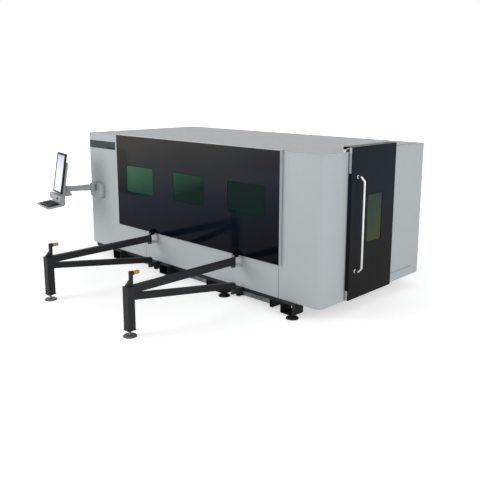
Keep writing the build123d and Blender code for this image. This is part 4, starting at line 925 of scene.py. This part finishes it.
for name, place, body in (("arm_swivel_nut", (235, -125, 1224), "machine"),
                          ("panel_swivel_nut", (*PANEL_SWIVEL, 1202), "panel_head")):
    fixings(name, hex_tree, [place], (0.015, 0.010), (0.019, 0.0024), UP, body)

rear_screws = [(x, 2275.4, z) for x in STRIP_X for z in range(260, 1960, 240)]
rear_screws += [(x, 2275, z) for z in STRIP_Z for x in range(160, 4840, 300)]
fixings("rear_cover_screws", round_tree, rear_screws, (0.0052, 0.0022), (0.006, 0.0008),
        TO_REAR, "machine", sides=14)

BOLT_CIRCLE = 119
flange_bolts = [(SPIGOT_X + BOLT_CIRCLE * math.cos(math.radians(a)), 2278,
                 SPIGOT_Z + BOLT_CIRCLE * math.sin(math.radians(a)))
                for a in range(0, 360, 45)]
fixings("spigot_flange_bolts", hex_tree, flange_bolts, (0.0055, 0.004), (0.008, 0.0012),
        TO_REAR, "machine")

truck_bolts = [(x, y, 1200) for x in (742, 818, 4292, 4368) for y in (1825, 1855, 2125, 2155)]
fixings("gantry_truck_bolts", hex_tree, truck_bolts, (0.0085, 0.0075), (0.0115, 0.002),
        UP, "gantry")

stem_tree = thread_tree("foot stem threads", zinc_steel)
STEM_THREAD = {"Radius": 0.0128, "Pitch": 0.003, "Depth": 0.0014}
foot_places = [(x + 174, y, 19) for x in BOX_X for y in (-54, 2327)]
grown("foot_stem_threads", stem_tree, foot_places, {**STEM_THREAD, "Count": 5},
      "machine")
for side, x in zip(("left", "right"), HINGE_X):
    grown(side + "_arm_stem_threads", stem_tree, [(x, -1777, 19)], {**STEM_THREAD, "Count": 15},
          side + "_arm")

# ---------------------------------------------------------------- camera
VIEW_PLACE = (6.78537, -5.95193, 2.80264)
VIEW_YAW = 0.7644
VIEW_PITCH = 0.1993
VIEW_ROLL = 0.0038

forward = Vector((-math.sin(VIEW_YAW) * math.cos(VIEW_PITCH),
                  math.cos(VIEW_YAW) * math.cos(VIEW_PITCH), -math.sin(VIEW_PITCH)))
level = Vector((math.cos(VIEW_YAW), math.sin(VIEW_YAW), 0))
above = level.cross(forward)
right = math.cos(VIEW_ROLL) * level + math.sin(VIEW_ROLL) * above
up = math.cos(VIEW_ROLL) * above - math.sin(VIEW_ROLL) * level
camera_data = bpy.data.cameras.new("photograph view")
camera_data.sensor_width = 36.0
camera_data.lens = 46.98
camera_data.shift_x = -0.02354
camera_data.shift_y = -0.05746
camera_data.clip_end = 200.0
camera = bpy.data.objects.new("photograph view", camera_data)
camera.matrix_world = Matrix.Translation(VIEW_PLACE) @ Matrix((
    (right.x, up.x, -forward.x, 0), (right.y, up.y, -forward.y, 0),
    (right.z, up.z, -forward.z, 0), (0, 0, 0, 1)))
bpy.context.scene.collection.objects.link(camera)
bpy.context.scene.camera = camera


# ---------------------------------------------------------------- floor, world and lamps
def rays(tree):
    """Camera rays, and all the rays that see the white background, as two masks."""
    path = add(tree, "ShaderNodeLightPath").outputs
    seen = calc(tree, "MAXIMUM", path["Is Camera Ray"], path["Is Glossy Ray"])
    return path["Is Camera Ray"], calc(tree, "MAXIMUM", seen, path["Is Transmission Ray"])


FLOOR_HALF = 60
floor_mesh = bpy.data.meshes.new("studio floor")
floor_mesh.from_pydata([(-FLOOR_HALF, -FLOOR_HALF, 0), (FLOOR_HALF, -FLOOR_HALF, 0),
                        (FLOOR_HALF, FLOOR_HALF, 0), (-FLOOR_HALF, FLOOR_HALF, 0)],
                       [], [(0, 1, 2, 3)])
floor = bpy.data.objects.new("studio_floor", floor_mesh)
bpy.context.scene.collection.objects.link(floor)
floor_paint = bpy.data.materials.new("studio floor")
floor_paint.use_nodes = True
tree = floor_paint.node_tree
tree.nodes.clear()
to_camera, seen = rays(tree)
place = add(tree, "ShaderNodeTexCoord").outputs["Object"]
reach = add(tree, "ShaderNodeVectorMath", {0: place}, operation="LENGTH").outputs["Value"]
# Less glow near the machine, so that its shadow shows, and nearly white further out.
spread = result(tree, "ShaderNodeMapRange",
                {"Value": reach, "From Min": 3.0, "From Max": 8.0, "To Min": 0.39, "To Max": 0.9},
                interpolation_type="SMOOTHSTEP")
glow = calc(tree, "MULTIPLY_ADD", to_camera, spread, calc(tree, "MULTIPLY", seen, 0.12))
matte = result(tree, "ShaderNodeBsdfDiffuse", {"Color": (0.9, 0.9, 0.9, 1)})
lift = result(tree, "ShaderNodeEmission", {"Color": (1, 1, 1, 1), "Strength": glow})
both = result(tree, "ShaderNodeAddShader", {0: matte, 1: lift})
add(tree, "ShaderNodeOutputMaterial", {"Surface": both})
floor_mesh.materials.append(floor_paint)

# The world lights from the horizon more than from above, and is plain white where it is seen.
world = bpy.data.worlds.new("studio")
bpy.context.scene.world = world
world.use_nodes = True
tree = world.node_tree
tree.nodes.clear()
seen = rays(tree)[1]
sky = along(tree, add(tree, "ShaderNodeTexCoord").outputs["Generated"], "Z")
soft = result(tree, "ShaderNodeMapRange",
              {"Value": sky, "From Min": 0.1, "From Max": 0.9, "To Min": 1.12, "To Max": 0.24})
strength = result(tree, "ShaderNodeMapRange", {"Value": seen, "To Min": soft, "To Max": 1.0})
back = result(tree, "ShaderNodeBackground", {"Color": (1, 1, 1, 1), "Strength": strength})
add(tree, "ShaderNodeOutputWorld", {"Surface": back})


def soft_lamp(name, place, target, size, power):
    lamp_data = bpy.data.lights.new(name, "AREA")
    lamp_data.shape = "DISK"
    lamp_data.size = size
    lamp_data.energy = power
    lamp = bpy.data.objects.new(name, lamp_data)
    aim = (Vector(target) - Vector(place)).to_track_quat("-Z", "Y")
    lamp.matrix_world = Matrix.Translation(place) @ aim.to_matrix().to_4x4()
    bpy.context.scene.collection.objects.link(lamp)


soft_lamp("key lamp", (-4.2, -10.4, 4.2), (-0.5, 0, 0.7), 6.0, 450.0)
soft_lamp("fill lamp", (9.5, -0.5, 2.8), (1.5, 0, 0.8), 6.0, 170.0)

bpy.context.scene.view_settings.view_transform = "Standard"
